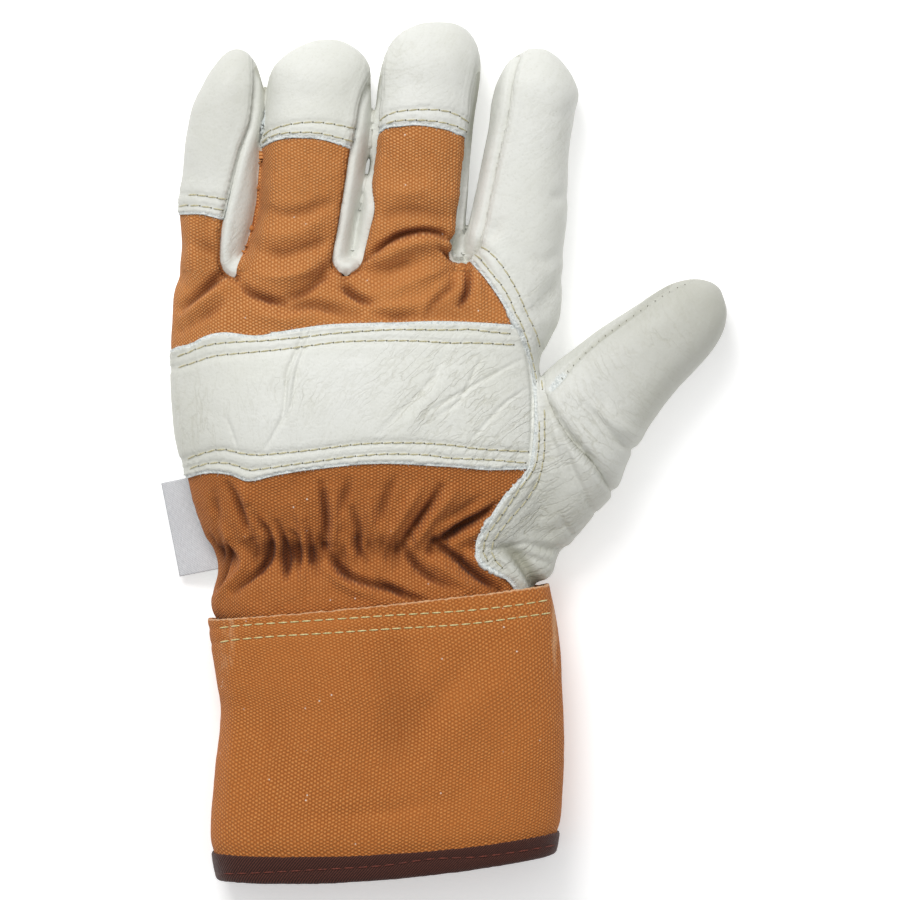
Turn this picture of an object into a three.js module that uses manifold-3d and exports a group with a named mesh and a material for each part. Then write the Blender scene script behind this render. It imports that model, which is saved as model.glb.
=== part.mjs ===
// Fitters glove for the left hand: a leather palm with a full leather index finger and thumb, a canvas back with a
// leather knuckle strap and fingertips, leather forks between the fingers, a gathered wrist and a stiff canvas cuff.
// It lies on its palm. Millimetres: +Y runs to the fingertips, +X to the thumb and +Z up, out of the back of the hand.
// The origin is on the surface that it lies on, under the middle of its outline.
import * as THREE from "three";
import { mergeVertices } from "three/addons/utils/BufferGeometryUtils.js";
import Module from "manifold-3d";

const wasm = await Module();
wasm.setup();

// Driving sizes
const WALL = 2.2; // leather or canvas with its padding
const CUFF_WALL = 1.6; // starched canvas
const SEAM_GAP = 0.3; // between two pieces that are sewn together
const LAP = 0.8; // how proud a leather piece stands where it laps over canvas
const SEAM_HEIGHT = 9; // of the seam that joins the back to the palm
const PRESSED = -1; // how far the round form would reach below the surface, were it not pressed flat there
const WIDEST = 0.45; // where a section is widest, as a share of its height
const ABOVE_ALL = 60;
const FINGER_ROOT = 42; // the Y at which the finger tubes start, inside the hand
const ROOT_TAPER = 0.2; // how much of its width a finger tube loses at each side there

const LEATHER = new THREE.MeshStandardMaterial({ color: 0xdfe0d6, roughness: 0.62, metalness: 0 });
const CANVAS = new THREE.MeshStandardMaterial({ color: 0xb8713a, roughness: 0.92, metalness: 0 });
const BINDING = new THREE.MeshStandardMaterial({ color: 0x452a21, roughness: 0.9, metalness: 0 });
const SATIN = new THREE.MeshStandardMaterial({ color: 0xe4e4e6, roughness: 0.45, metalness: 0 });

// The hand from the finger roots to the end inside the cuff. Columns: y, left edge, right edge, top
const HAND = [
  [60, -78, 34, 17],
  [57.5, -81.5, 36.4, 21.5],
  [54, -83.6, 37.3, 25],
  [50, -84.6, 37.5, 27.5],
  [41.5, -85, 37, 30],
  [34, -85.5, 34, 31.5],
  [24.5, -85.5, 32.5, 33],
  [13.5, -85, 33, 34],
  [4, -84, 34, 34],
  [-5.5, -81.5, 35, 33],
  [-15, -79, 35.6, 31.5],
  [-24.5, -75.5, 35.6, 29.5],
  [-29, -73, 35.6, 28.5],
  [-34, -71, 34.8, 28],
  [-38.5, -71, 33, 29],
  [-43.5, -71.5, 31, 30],
  [-49, -71.5, 31, 30.5],
  [-64, -71, 31, 30.5],
];

// Each finger's tube. Columns of rows: y, left edge, right edge
const FINGERS = {
  little: {
    tip: 127.5,
    top: 22,
    rows: [
      [56, -83, -64],
      [65.5, -82, -62.5],
      [78, -83, -59.6],
      [90.5, -82, -58.6],
      [103, -80.5, -57.4],
      [109.5, -79, -57],
      [115.5, -76, -57.4],
      [120, -73.5, -58],
      [124, -70.5, -60],
      [126.5, -68, -62.5],
    ],
  },
  ring: {
    tip: 130.2,
    top: 25,
    rows: [
      [56, -64.5, -29.5],
      [65.5, -61.5, -29],
      [78, -58.4, -26.2],
      [90.5, -57.6, -24.4],
      [103, -55.6, -23.2],
      [112.5, -55, -22.8],
      [119, -54.3, -22.8],
      [123.5, -51.5, -24],
      [127, -47, -27],
      [129.3, -41, -31.5],
    ],
  },
  middle: {
    tip: 135.3,
    top: 26,
    rows: [
      [56, -29.5, 5.5],
      [65.5, -28, 6],
      [78, -25.4, 7],
      [90.5, -23.2, 8.5],
      [103, -21.8, 9.5],
      [115.5, -20.6, 11.5],
      [122, -19.5, 12],
      [127, -17.3, 11],
      [131.5, -14, 9],
      [134.3, -9, 5.5],
    ],
  },
  index: {
    tip: 127.5,
    top: 25.5,
    rows: [
      [56, 6, 37.5],
      [65.5, 7, 38.5],
      [78, 10, 39.5],
      [90.5, 12.5, 39.5],
      [103, 14.5, 41],
      [110.5, 15.3, 42.8],
      [115.5, 16.5, 42],
      [120, 18.8, 40],
      [124, 22, 36.5],
      [126.5, 26, 33],
    ],
  },
};
const DOME = 15; // the length over which a fingertip rounds off
const FULLEST_ROUNDING = 0.98; // the share of it at which a tip's last section lies

// The thumb, by the two edges of each section. Columns: inner edge x, y, outer edge x, y, bottom, top
const THUMB = [
  [12, 8, 34.5, -34, 3, 21],
  [20, 14, 40.5, -28.5, PRESSED, 25.5],
  [28.5, 21.5, 47.5, -20, PRESSED, 28],
  [33.5, 27, 54, -13, PRESSED, 28.5],
  [38.5, 31.5, 57.6, -5.5, PRESSED, 28],
  [49.5, 40, 63.5, 6.5, PRESSED, 27],
  [62, 46, 72, 18, PRESSED, 26],
  [71, 52, 80, 26.5, PRESSED, 24.5],
  [77.5, 54.3, 85.3, 33, 0.3, 22.5],
  [82.7, 53.8, 87.8, 38.5, 2.5, 20],
  [86, 51.5, 88.8, 43.5, 5.5, 16.5],
];
const THUMB_TIP = [88.4, 48, 11];

// The rolled leather at the bottom of each gap between two fingers. Columns: x, y, half width, half length, top
const CROTCH_SIDES = 10;
const CROTCHES = [
  [-63.6, 56.5, 3.6, 4.6, 20],
  [-29.3, 57, 4.4, 5, 22.5],
  [5.8, 58.5, 2.6, 4, 21],
];

// The cuff by the two edges of each slanting section. Columns: left x, y, right x, y, bottom, top
const CUFF = [
  [-74, -52.5, 33.5, -41.5, PRESSED, 33],
  [-73, -60.5, 36, -54.5, PRESSED, 34],
  [-71, -73, 37, -71.5, PRESSED, 34.5],
  [-69.8, -82.5, 38, -85, PRESSED, 34.5],
  [-71.7, -99, 38, -99, PRESSED, 34.8],
  [-73, -119, 37, -114, PRESSED, 35.5],
  [-71.9, -126, 35.5, -119.5, 1.1, 34.4],
  [-71.2, -131.5, 35.2, -123.8, 1.1, 34.4],
];
// The last two rows are inside the binding, which goes on a little way past them
const HEM_END = [-69.8, -135, 34.6, -126.4, 1.1, 34];
const BINDING_CLOTH = 0.8;

// Seams and edges seen from above, as smooth curves through a few points
const SEAMS = {
  little: [[-61, 131], [-60, 118.5], [-61.5, 103.5], [-66, 87], [-69, 73.5], [-69.6, 62], [-64.5, 54.5]],
  little_gap: [[-64.5, 54.5], [-61.9, 63], [-59, 76], [-58.1, 90], [-56.5, 103], [-56, 117], [-57, 131]],
  ring: [[-22.5, 133], [-22.8, 121], [-26.5, 110.5], [-29, 96], [-32, 77.5], [-34, 62], [-29.5, 55]],
  middle_left: [[-29.5, 55], [-25.6, 60], [-22, 76], [-22, 91], [-19.6, 106], [-19, 122], [-16, 139]],
  middle_right: [[13.5, 137], [11.5, 122], [8, 105], [6, 88], [4.4, 72], [3.4, 62], [6.5, 57.5]],
  index: [[6.5, 57.5], [11.5, 65.5], [14, 75.5], [18, 91.5], [21, 107], [22.6, 119], [27, 131]],
  wing: [
    [6.5, 57.5],
    [15, 51.5],
    [22.5, 39.5],
    [27.5, 26],
    [28.7, 12],
    [27.4, -2],
    [19.5, -13],
    [11.5, -25],
    [11.3, -33],
    [18, -39],
    [23, -45],
    [26, -66],
  ],
  strap_top: [[-95, 29], [-74, 36.3], [-58.5, 36.6], [-35, 40], [-10, 41], [24.4, 39.5]],
  strap_bottom: [[-95, -12], [-72, -6.5], [-60.5, -9], [-38, -5], [-15, -3.6], [27, -5]],
  cap_little: [[-95, 74.5], [-76, 74.5], [-68.8, 73]],
  cap_ring: [[-61, 94.6], [-53, 97.7], [-42, 98.4], [-28.6, 95.4]],
  cap_middle: [[-21.5, 98.4], [-15, 101.8], [-5, 102.4], [8, 98.2]],
  thumb: [[37, 35], [32.6, 26], [32.4, 17], [39.5, 4.5], [49, -5.5], [58, -20]],
};

// Folds of the canvas over the knuckles. Columns: from x, y, to x, y, depth (minus is a valley), half width
const KNUCKLE_FOLDS = [
  [-16, 66, 3, 66, -1.4, 3],
  [-14, 60, 2, 61, 1.4, 4],
  [-32, 53, -26, 48, -1.4, 3],
  [-24, 48, 4, 56, -1.3, 3],
  [-28, 43, 6, 48, 1, 4],
  [-64, 54, -38, 58, -1.2, 4],
  [-67, 55, -81, 44, -1.3, 3],
  [-58, 71, -34, 78, -1, 4],
  [7, 56, 8, 49, -1, 3],
];

// Gathers of the elastic wrist. Columns: x under the strap, x at the waist, x at the cuff, depth (minus is a valley)
const GATHERS = [
  [-79, -69, -69, 0.9],
  [-71, -66, -67, -1.1],
  [-65, -61, -63, 1.1],
  [-59, -56.5, -60, -1.2],
  [-53, -52.5, -57, 1],
  [-48, -47.5, -52, -1.1],
  [-42, -43, -47, 0.9],
  [-37, -38.5, -37, -1.3],
  [-31, -33, -30, 1],
  [-24, -28, -22, -1],
  [-18, -23, -14, 1.1],
  [-12, -18, -9, -1.1],
  [-6, -12.5, -4, 0.9],
  [-1, -7, 0, -1.2],
  [7, -2, 5, 1.1],
  [14, 3, 12, -1.2],
];
const GATHER_HALF_WIDTH = 2.4;
const GATHER_TOP = -10;
const GATHER_WAIST = -31;
const GATHER_FOOT = -46;
const RELIEF_FADE = 8; // the height above the side seam by which folds and gathers are at their full depth

// The woven label in the little finger's side seam
const LABEL = { corner: [-89.5, -9.5], angle: 11.3, width: 18, length: 30.6, thick: 0.6 };

// A closed three.js geometry as a solid.
function solidOf(geometry) {
  const bare = geometry.index ? geometry.toNonIndexed() : geometry.clone();
  bare.deleteAttribute("normal");
  bare.deleteAttribute("uv");
  const merged = mergeVertices(bare, 1e-4);
  return new wasm.Manifold(
    new wasm.Mesh({
      numProp: 3,
      vertProperties: merged.attributes.position.array,
      triVerts: new Uint32Array(merged.index.array),
    }),
  );
}

function geometryOf(solid) {
  const mesh = solid.getMesh();
  const geometry = new THREE.BufferGeometry();
  geometry.setAttribute("position", new THREE.BufferAttribute(mesh.vertProperties, 3));
  geometry.setIndex(new THREE.BufferAttribute(mesh.triVerts, 1));
  return geometry.toNonIndexed();
}

// The points round a section: evenly apart along its top and, fewer, along its bottom, and closer where it bends.
const FINE_STEPS = 360;
const BEND_LENGTH = 9; // millimetres of outline that a bend of one radian counts for
function profile(topCount, bottomCount, halfWidth, halfHeight, underside) {
  const turns = [];
  for (const [count, from] of [[topCount, -Math.PI / 2], [bottomCount, Math.PI / 2]]) {
    const points = Array.from({ length: FINE_STEPS + 1 }, (_, i) =>
      outlinePoint(from + (Math.PI * i) / FINE_STEPS, halfWidth, halfHeight, underside),
    );
    const reach = [0];
    for (let i = 1; i <= FINE_STEPS; i++) {
      const step = points[i].clone().sub(points[i - 1]);
      const last = points[i - 1].clone().sub(points[Math.max(i - 2, 0)]);
      const bend = i > 1 ? Math.abs(Math.atan2(step.cross(last), step.dot(last))) : 0;
      reach.push(reach[i - 1] + step.length() + BEND_LENGTH * bend);
    }
    for (let k = 0; k < count; k++) {
      const wanted = (reach[FINE_STEPS] * k) / count;
      turns.push(from + (Math.PI * reach.findIndex((length) => length >= wanted)) / FINE_STEPS);
    }
  }
  return { turns, underside };
}

// A point of a section's outline. Turn 0 is the top and a quarter turn is the right side.
// The higher the power, the squarer the section is there.
const TOP_POWER = 2.5;
function outlinePoint(turn, halfWidth, halfHeight, underside) {
  const across = Math.sin(turn);
  const up = Math.cos(turn);
  const power = 2 / (up > 0 ? TOP_POWER : underside);
  return new THREE.Vector2(
    halfWidth * Math.sign(across) * Math.abs(across) ** power,
    halfHeight * Math.sign(up) * Math.abs(up) ** power,
  );
}

// A tube through sections { left, right, bottom, top }: the vertices of a three.js cylinder moved to their places.
function tube(sections, { turns, underside }, { relief = () => 0, tip = null } = {}) {
  const geometry = new THREE.CylinderGeometry(1, 1, 1, turns.length, sections.length - 1);
  const place = geometry.attributes.position;
  for (let i = 0; i < place.count; i++) {
    const row = Math.round((place.getY(i) + 0.5) * (sections.length - 1));
    const { left, right, bottom, top } = sections[row];
    const middle = left.clone().add(right).multiplyScalar(0.5);
    const across = right.clone().sub(left).normalize();
    const widest = bottom + (top - bottom) * WIDEST;
    let point = new THREE.Vector3(middle.x, middle.y, widest);
    const onAxis = Math.hypot(place.getX(i), place.getZ(i)) < 0.5;
    if (onAxis && tip && row === sections.length - 1) point = new THREE.Vector3(...tip);
    if (!onAxis) {
      const column = Math.round((Math.atan2(place.getX(i), place.getZ(i)) / (2 * Math.PI)) * turns.length);
      const turn = turns[(column + turns.length) % turns.length];
      const halfHeight = Math.cos(turn) > 0 ? top - widest : widest - bottom;
      const out = outlinePoint(turn, left.distanceTo(right) / 2, halfHeight, underside);
      point.x += across.x * out.x;
      point.y += across.y * out.x;
      point.z += out.y;
      const share = THREE.MathUtils.clamp((point.z - SEAM_HEIGHT) / RELIEF_FADE, 0, 1);
      point.z += relief(point.x, point.y) * share;
    }
    place.setXYZ(i, point.x, point.y, point.z);
  }
  return solidOf(geometry);
}

// A row of a table at any y between its rows.
function rowAt(rows, y) {
  const i = Math.max(1, rows.findIndex((row) => row[0] <= y));
  const [above, below] = [rows[i - 1], rows[i]];
  const share = (above[0] - y) / (above[0] - below[0]);
  return above.map((value, k) => THREE.MathUtils.lerp(value, below[k], share));
}

// Height that a straight fold adds at a point: a rounded ridge or valley that fades past its ends.
function foldHeight(x, y, x0, y0, x1, y1, depth, halfWidth) {
  const along = new THREE.Vector2(x1 - x0, y1 - y0);
  const share = THREE.MathUtils.clamp(((x - x0) * along.x + (y - y0) * along.y) / along.lengthSq(), 0, 1);
  const away = Math.hypot(x - x0 - share * along.x, y - y0 - share * along.y);
  return depth * Math.exp(-((away / halfWidth) ** 2));
}

function canvasRelief(x, y) {
  let height = 0;
  for (const fold of KNUCKLE_FOLDS) height += foldHeight(x, y, ...fold);
  if (y > GATHER_TOP || y < GATHER_FOOT) return height;
  for (const [upper, waist, foot, depth] of GATHERS) {
    const [end, share] =
      y > GATHER_WAIST
        ? [upper, (y - GATHER_WAIST) / (GATHER_TOP - GATHER_WAIST)]
        : [foot, (y - GATHER_WAIST) / (GATHER_FOOT - GATHER_WAIST)];
    const away = x - THREE.MathUtils.lerp(waist, end, share);
    height += depth * Math.cos((share * Math.PI) / 2) * Math.exp(-((away / GATHER_HALF_WIDTH) ** 2));
  }
  return height;
}

const HAND_ROUND = profile(37, 7, 58, 16, 5);
const HAND_INNER_ROUND = profile(12, 6, 56, 14, 5);
const FINGER_ROUND = profile(9, 5, 16, 12, 3);
const FINGER_INNER_ROUND = profile(6, 4, 14, 10, 3);
const CUFF_ROUND = profile(15, 8, 54, 17, 3.4);

const HAND_STATIONS = [
  60, 57.5, 54, 50, 46, 41.5, 34, 22, 8, -5, -11, -16, -20, -24, -27.5, -31, -34.5, -38, -44, -60,
];
const HAND_INNER_STATIONS = [54, 42, 24, 4, -15, -31, -44, -63];
const CLEAR_OF_CUFF = 3.4; // how far the hand's end lifts off the surface to lie on the cuff's underside
const CUFF_STARTS = -36;

// The hand, taken in by inset or with its top raised.
function handForm(stations, round, { inset = 0, raise = 0, relief } = {}) {
  const sections = stations.toReversed().map((y) => {
    const [, left, right, top] = rowAt(HAND, y);
    const lift = THREE.MathUtils.clamp((CUFF_STARTS - y) / 6, 0, 1) * CLEAR_OF_CUFF;
    return {
      left: new THREE.Vector2(left + inset, y),
      right: new THREE.Vector2(right - inset, y),
      bottom: (inset > 0 ? inset : PRESSED) + lift,
      top: top - inset + raise,
    };
  });
  return tube(sections, round, { relief });
}

// A finger, taken in by inset by shrinking its tube towards its own middle line, or with its top raised.
function fingerForm({ tip, top, rows }, round, { inset = 0, raise = 0, relief } = {}) {
  const halfWidth = (rows[2][2] - rows[2][1]) / 2;
  const length = tip - FINGER_ROOT;
  const narrower = 1 - inset / halfWidth;
  const shorter = 1 - inset / length;
  const [, rootLeft, rootRight] = rows[0];
  const buried = (rootRight - rootLeft) * ROOT_TAPER;
  const root = [FINGER_ROOT, rootLeft + buried, rootRight - buried];
  const sections = [root, ...rows].map(([y, left, right]) => {
    const fromTip = THREE.MathUtils.clamp((y - (tip - DOME)) / DOME, 0, FULLEST_ROUNDING);
    const fullness = y === FINGER_ROOT ? 1 - 2 * ROOT_TAPER : Math.sqrt(1 - fromTip * fromTip);
    const middle = (left + right) / 2;
    const half = ((right - left) / 2) * narrower;
    const bottom = inset > 0 ? inset : PRESSED;
    const height = top - inset - bottom;
    const widest = bottom + height * WIDEST;
    const place = FINGER_ROOT + (y - FINGER_ROOT) * shorter;
    return {
      left: new THREE.Vector2(middle - half, place),
      right: new THREE.Vector2(middle + half, place),
      bottom: widest - height * WIDEST * fullness,
      top: widest + height * (1 - WIDEST) * fullness + raise,
    };
  });
  const last = sections[sections.length - 1];
  const tipPlace = FINGER_ROOT + length * shorter;
  return tube(sections, round, {
    relief,
    tip: [(last.left.x + last.right.x) / 2, tipPlace, (last.bottom + last.top) / 2],
  });
}

// A tube by the two edges of each section, as the thumb and the cuff are given.
function edgedForm(rows, round, { inset = 0, tip = null } = {}) {
  const sections = rows.map(([x0, y0, x1, y1, bottom, top]) => {
    const left = new THREE.Vector2(x0, y0);
    const right = new THREE.Vector2(x1, y1);
    const inward = right.clone().sub(left).normalize().multiplyScalar(inset);
    return {
      left: left.add(inward),
      right: right.sub(inward),
      bottom: inset > 0 ? Math.max(bottom, 0) + inset : bottom + inset,
      top: top - inset,
    };
  });
  return tube(sections, round, { tip });
}

// The cuff's rows run away from the fingers, so they are turned round for the tube.
function cuffForm(rows, inset) {
  return edgedForm(rows.toReversed(), CUFF_ROUND, { inset });
}

// Points along a smooth curve through a seam's few points.
const SEAM_STEP = 10;
function seamPoints(name) {
  const curve = new THREE.SplineCurve(SEAMS[name].map(([x, y]) => new THREE.Vector2(x, y)));
  return curve.getSpacedPoints(Math.max(3, Math.round(curve.getLength() / SEAM_STEP)));
}

// An outline from seams and corner points, in order. A name with a minus runs backwards.
const SAME_POINT = 0.01;
function outline(...steps) {
  const points = steps.flatMap((step) => {
    if (Array.isArray(step)) return [new THREE.Vector2(...step)];
    return step.startsWith("-") ? seamPoints(step.slice(1)).reverse() : seamPoints(step);
  });
  return points.filter((point, i) => i === 0 || point.distanceTo(points[i - 1]) > SAME_POINT);
}

// A prism over an outline, from one height to another.
function prism(points, low = SEAM_HEIGHT, high = ABOVE_ALL) {
  const shape = new THREE.Shape(THREE.ShapeUtils.isClockWise(points) ? points.toReversed() : points);
  const geometry = new THREE.ExtrudeGeometry(shape, { depth: high - low, bevelEnabled: false });
  return solidOf(geometry.translate(0, 0, low));
}

// The thin upright slice along a seam that keeps the two pieces apart.
function kerf(name, low = SEAM_HEIGHT) {
  const points = seamPoints(name);
  const side = (sign) =>
    points.map((point, i) => {
      const along = points[Math.min(i + 1, points.length - 1)].clone().sub(points[Math.max(i - 1, 0)]);
      const across = new THREE.Vector2(-along.y, along.x).normalize().multiplyScalar((sign * SEAM_GAP) / 2);
      return point.clone().add(across);
    });
  return prism([...side(1), ...side(-1).reverse()], low);
}

function joined(solids) {
  return solids.reduce((all, solid) => all.add(solid));
}

// Areas seen from above, each as a prism from the side seam's height upwards
const FAR_LEFT = -95;
const topOutline = outline("-wing", "index", [27, 140], [FAR_LEFT, 140], [FAR_LEFT, -66]);
const area = {
  canvasAndForks: prism(topOutline),
  little: prism(outline([FAR_LEFT, 54.5], "-little", [-61, 140], [FAR_LEFT, 140])),
  ring: prism(outline("-ring", "-little_gap")),
  middle: prism(outline("-middle_right", "-middle_left")),
  forkLittleRing: prism(outline("little", "little_gap")),
  forkRingMiddle: prism(outline("ring", "middle_left")),
  forkMiddleIndex: prism(outline("middle_right", "index")),
  belowStrapTop: prism(outline("strap_top", [60, 40], [60, -70], [FAR_LEFT, -70])),
  belowStrap: prism(outline("strap_bottom", [60, -5], [60, -70], [FAR_LEFT, -70])),
  littleTip: prism(outline("cap_little", [-50, 73], [-50, 145], [FAR_LEFT, 145])),
  ringTip: prism(outline("cap_ring", [-15, 95], [-15, 145], [-61, 145])),
  middleTip: prism(outline("cap_middle", [20, 98], [20, 145], [-30, 145], [-30, 98])),
  thumb: prism(outline("thumb", [100, -30], [100, 80], [60, 65]), PRESSED - 1),
};
// Under the wing the palm's own side wall rises above the side seam
const UNDER_WING_TOP = 16;
const underWing = prism(outline([0, -70], [60, -70], [60, 49], [0, 49]), SEAM_HEIGHT - 1, UNDER_WING_TOP);
const forks = joined([area.forkLittleRing, area.forkRingMiddle, area.forkMiddleIndex]);
const topArea = area.canvasAndForks.subtract(underWing);
const back = topArea.subtract(forks);
const caps = {
  little: area.little.intersect(area.littleTip),
  ring: area.ring.intersect(area.ringTip),
  middle: area.middle.intersect(area.middleTip),
};
const strapArea = back.intersect(area.belowStrapTop).subtract(area.belowStrap);

// The glove's outer form, with the leather that laps over canvas standing proud
const crotches = CROTCHES.map(([x, y, halfWidth, halfLength, top]) => {
  const geometry = new THREE.CylinderGeometry(1, 1, top - PRESSED, CROTCH_SIDES).rotateX(Math.PI / 2);
  geometry.scale(halfWidth, halfLength, 1).translate(x, y, (top + PRESSED) / 2);
  return solidOf(geometry);
});
const lifted = { raise: LAP, relief: canvasRelief };
const outer = joined([
  handForm(HAND_STATIONS, HAND_ROUND, { relief: canvasRelief }),
  handForm(HAND_STATIONS, HAND_ROUND, lifted).intersect(strapArea),
  edgedForm(THUMB, FINGER_ROUND, { tip: THUMB_TIP }),
  ...crotches,
  ...Object.values(FINGERS).map((finger) => fingerForm(finger, FINGER_ROUND, { relief: canvasRelief })),
  ...Object.keys(caps).map((name) => fingerForm(FINGERS[name], FINGER_ROUND, lifted).intersect(caps[name])),
]);

// The room for the hand, open at the wrist
const inner = joined([
  handForm(HAND_INNER_STATIONS, HAND_INNER_ROUND, { inset: WALL }),
  edgedForm(THUMB.slice(0, -1), FINGER_INNER_ROUND, { inset: WALL }),
  ...Object.values(FINGERS).map((finger) => fingerForm(finger, FINGER_INNER_ROUND, { inset: WALL })),
]);

// What would be below the surface that the glove lies on is pressed flat
const underground = prism(outline([-120, -160], [120, -160], [120, 160], [-120, 160]), -30, 0);

// A row of the cuff moved along it
function movedRow(row, by) {
  return row.map((value, i) => (i === 1 || i === 3 ? value + by : value));
}

// The inside of the cuff or of its binding, which reaches past both ends
const PAST_END = 6;
const throughCuff = [movedRow(CUFF[0], PAST_END), ...CUFF, HEM_END, movedRow(HEM_END, -PAST_END)];

// The cuff laps over the hand's end, which keeps clear of it
const AROUND_CUFF = 4;
const clearOfCuff = cuffForm(throughCuff, CUFF_WALL + SEAM_GAP);
const cuffRoom = cuffForm([movedRow(CUFF[0], SEAM_GAP), ...CUFF], -AROUND_CUFF).subtract(clearOfCuff);

// The label is sewn into the side seam
function labelBlock(margin) {
  const { corner, angle, width, length, thick } = LABEL;
  const geometry = new THREE.BoxGeometry(width + 2 * margin, length + 2 * margin, thick + 2 * margin);
  geometry.translate(width / 2, -length / 2, 0);
  geometry.rotateZ(THREE.MathUtils.degToRad(angle)).translate(...corner, SEAM_HEIGHT);
  return solidOf(geometry);
}

// The gaps that part the sewn pieces
const sideSeam = prism(topOutline, SEAM_HEIGHT - SEAM_GAP / 2, SEAM_HEIGHT + SEAM_GAP / 2).subtract(underWing);
const gaps = joined([
  sideSeam,
  ...["little", "ring", "middle_left", "middle_right", "index", "wing"].map((name) => kerf(name)),
  kerf("strap_top").intersect(back),
  kerf("strap_bottom").intersect(back),
  kerf("cap_little").intersect(area.little),
  kerf("cap_ring").intersect(area.ring),
  kerf("cap_middle").intersect(area.middle),
  kerf("thumb", PRESSED - 1),
  labelBlock(SEAM_GAP),
  cuffRoom,
]);
const walls = outer.subtract(inner).subtract(underground).subtract(gaps);

const cuff = cuffForm(CUFF, 0).subtract(cuffForm(throughCuff, CUFF_WALL)).subtract(underground);
const bindingReach = BINDING_CLOTH + SEAM_GAP;
const binding = cuffForm([...CUFF.slice(-2), HEM_END], -bindingReach)
  .subtract(cuffForm(throughCuff, CUFF_WALL + bindingReach))
  .subtract(cuffForm(CUFF, -SEAM_GAP).subtract(clearOfCuff));

const handBack = walls.intersect(back);
const capAreas = joined(Object.values(caps));
const pieces = [
  ["palm", LEATHER, walls.subtract(topArea).subtract(area.thumb)],
  ["thumb", LEATHER, walls.intersect(area.thumb)],
  ["back_canvas", CANVAS, handBack.subtract(area.belowStrapTop).subtract(capAreas)],
  ["wrist_canvas", CANVAS, handBack.intersect(area.belowStrap)],
  ["knuckle_strap", LEATHER, walls.intersect(strapArea)],
  ["cap_little", LEATHER, walls.intersect(caps.little)],
  ["cap_ring", LEATHER, walls.intersect(caps.ring)],
  ["cap_middle", LEATHER, walls.intersect(caps.middle)],
  ["fork_little_ring", LEATHER, walls.intersect(area.forkLittleRing)],
  ["fork_ring_middle", LEATHER, walls.intersect(area.forkRingMiddle)],
  ["fork_middle_index", LEATHER, walls.intersect(area.forkMiddleIndex)],
  ["cuff", CANVAS, cuff],
  ["cuff_binding", BINDING, binding],
  ["label", SATIN, labelBlock(0).subtract(inner)],
];

const glove = new THREE.Group();
glove.name = "fitters_glove";
for (const [name, material, solid] of pieces) {
  const mesh = new THREE.Mesh(geometryOf(solid), material);
  mesh.name = name;
  glove.add(mesh);
}

export default glove;
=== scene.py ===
"""Looks of the fitters glove, in leather, duck canvas, twill tape and satin, laid on its palm on a pale
floor.

The tables are in millimetres, in the frame of the CAD part. Each piece is scaled to metres when it is
finished.
"""

import math

import bmesh
import bpy
import numpy as np
from mathutils import Matrix, Vector, noise
from mathutils.bvhtree import BVHTree


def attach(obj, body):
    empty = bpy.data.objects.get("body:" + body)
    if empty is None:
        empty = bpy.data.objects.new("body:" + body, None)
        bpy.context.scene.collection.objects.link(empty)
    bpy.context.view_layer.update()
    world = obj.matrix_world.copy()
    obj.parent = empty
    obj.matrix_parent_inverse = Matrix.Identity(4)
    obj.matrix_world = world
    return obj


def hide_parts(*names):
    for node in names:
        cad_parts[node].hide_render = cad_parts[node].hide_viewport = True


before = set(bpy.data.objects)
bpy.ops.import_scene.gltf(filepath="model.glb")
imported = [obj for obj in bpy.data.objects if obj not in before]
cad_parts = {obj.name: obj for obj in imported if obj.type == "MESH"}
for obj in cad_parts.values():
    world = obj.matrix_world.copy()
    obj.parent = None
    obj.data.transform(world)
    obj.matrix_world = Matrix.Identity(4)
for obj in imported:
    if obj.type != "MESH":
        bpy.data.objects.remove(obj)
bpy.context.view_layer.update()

MM = 0.001
VOXEL = 1.1  # size of the even mesh that the leather and canvas are cut from
SMOOTHINGS = 6  # how often the even mesh is smoothed
WAY_SMOOTHINGS = 5  # how often its outward directions are evened out
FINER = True  # the panels seen from above get a mesh twice as fine
# The tubes are this much slimmer before they are joined, so that the gaps between fingers stay open
SLIM = 0.75
PRESSED = -1.0  # how deep the forms reach before they are pressed flat
WIDEST = 0.45  # where a section is widest, as a share of its height
SIDE_SEAM = 9.0  # the height of the seam that joins the back to the palm
# How square the sections are: 2 is an ellipse, and more is squarer
TOP_POWER, HAND_UNDERSIDE, FINGER_UNDERSIDE = 2.5, 5, 3
CUFF_TOP_POWER, CUFF_UNDERSIDE = 3.2, 4.6

# Tables

# y, left edge, right edge, top
HAND = [
    (-64, -66, 26, 29),
    (-56, -69, 28, 30),
    (-49, -73, 31, 30.5),
    (-43.5, -72.5, 30.6, 30),
    (-40.5, -71.6, 32, 29.5),
    (-38, -71, 34.6, 28.5),
    (-34, -71.2, 35.8, 28),
    (-29, -73, 35.8, 28.5),
    (-24.5, -75.5, 35.6, 29.5),
    (-15, -79, 35.6, 31.5),
    (-5.5, -81, 35, 33),
    (4, -83.3, 34, 34),
    (13.5, -84.4, 32, 34),
    (24.5, -85, 30.3, 33),
    (30, -85.3, 30.5, 32),
    (34, -85.7, 32.4, 31.5),
    (38.5, -85.7, 35, 30.5),
    (42, -85.3, 36.8, 30),
    (50, -84.9, 37.6, 27.5),
    (54, -83.6, 37.3, 25),
    (57.5, -81.5, 36.4, 21.5),
    (60, -78, 34, 17),
]

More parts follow.
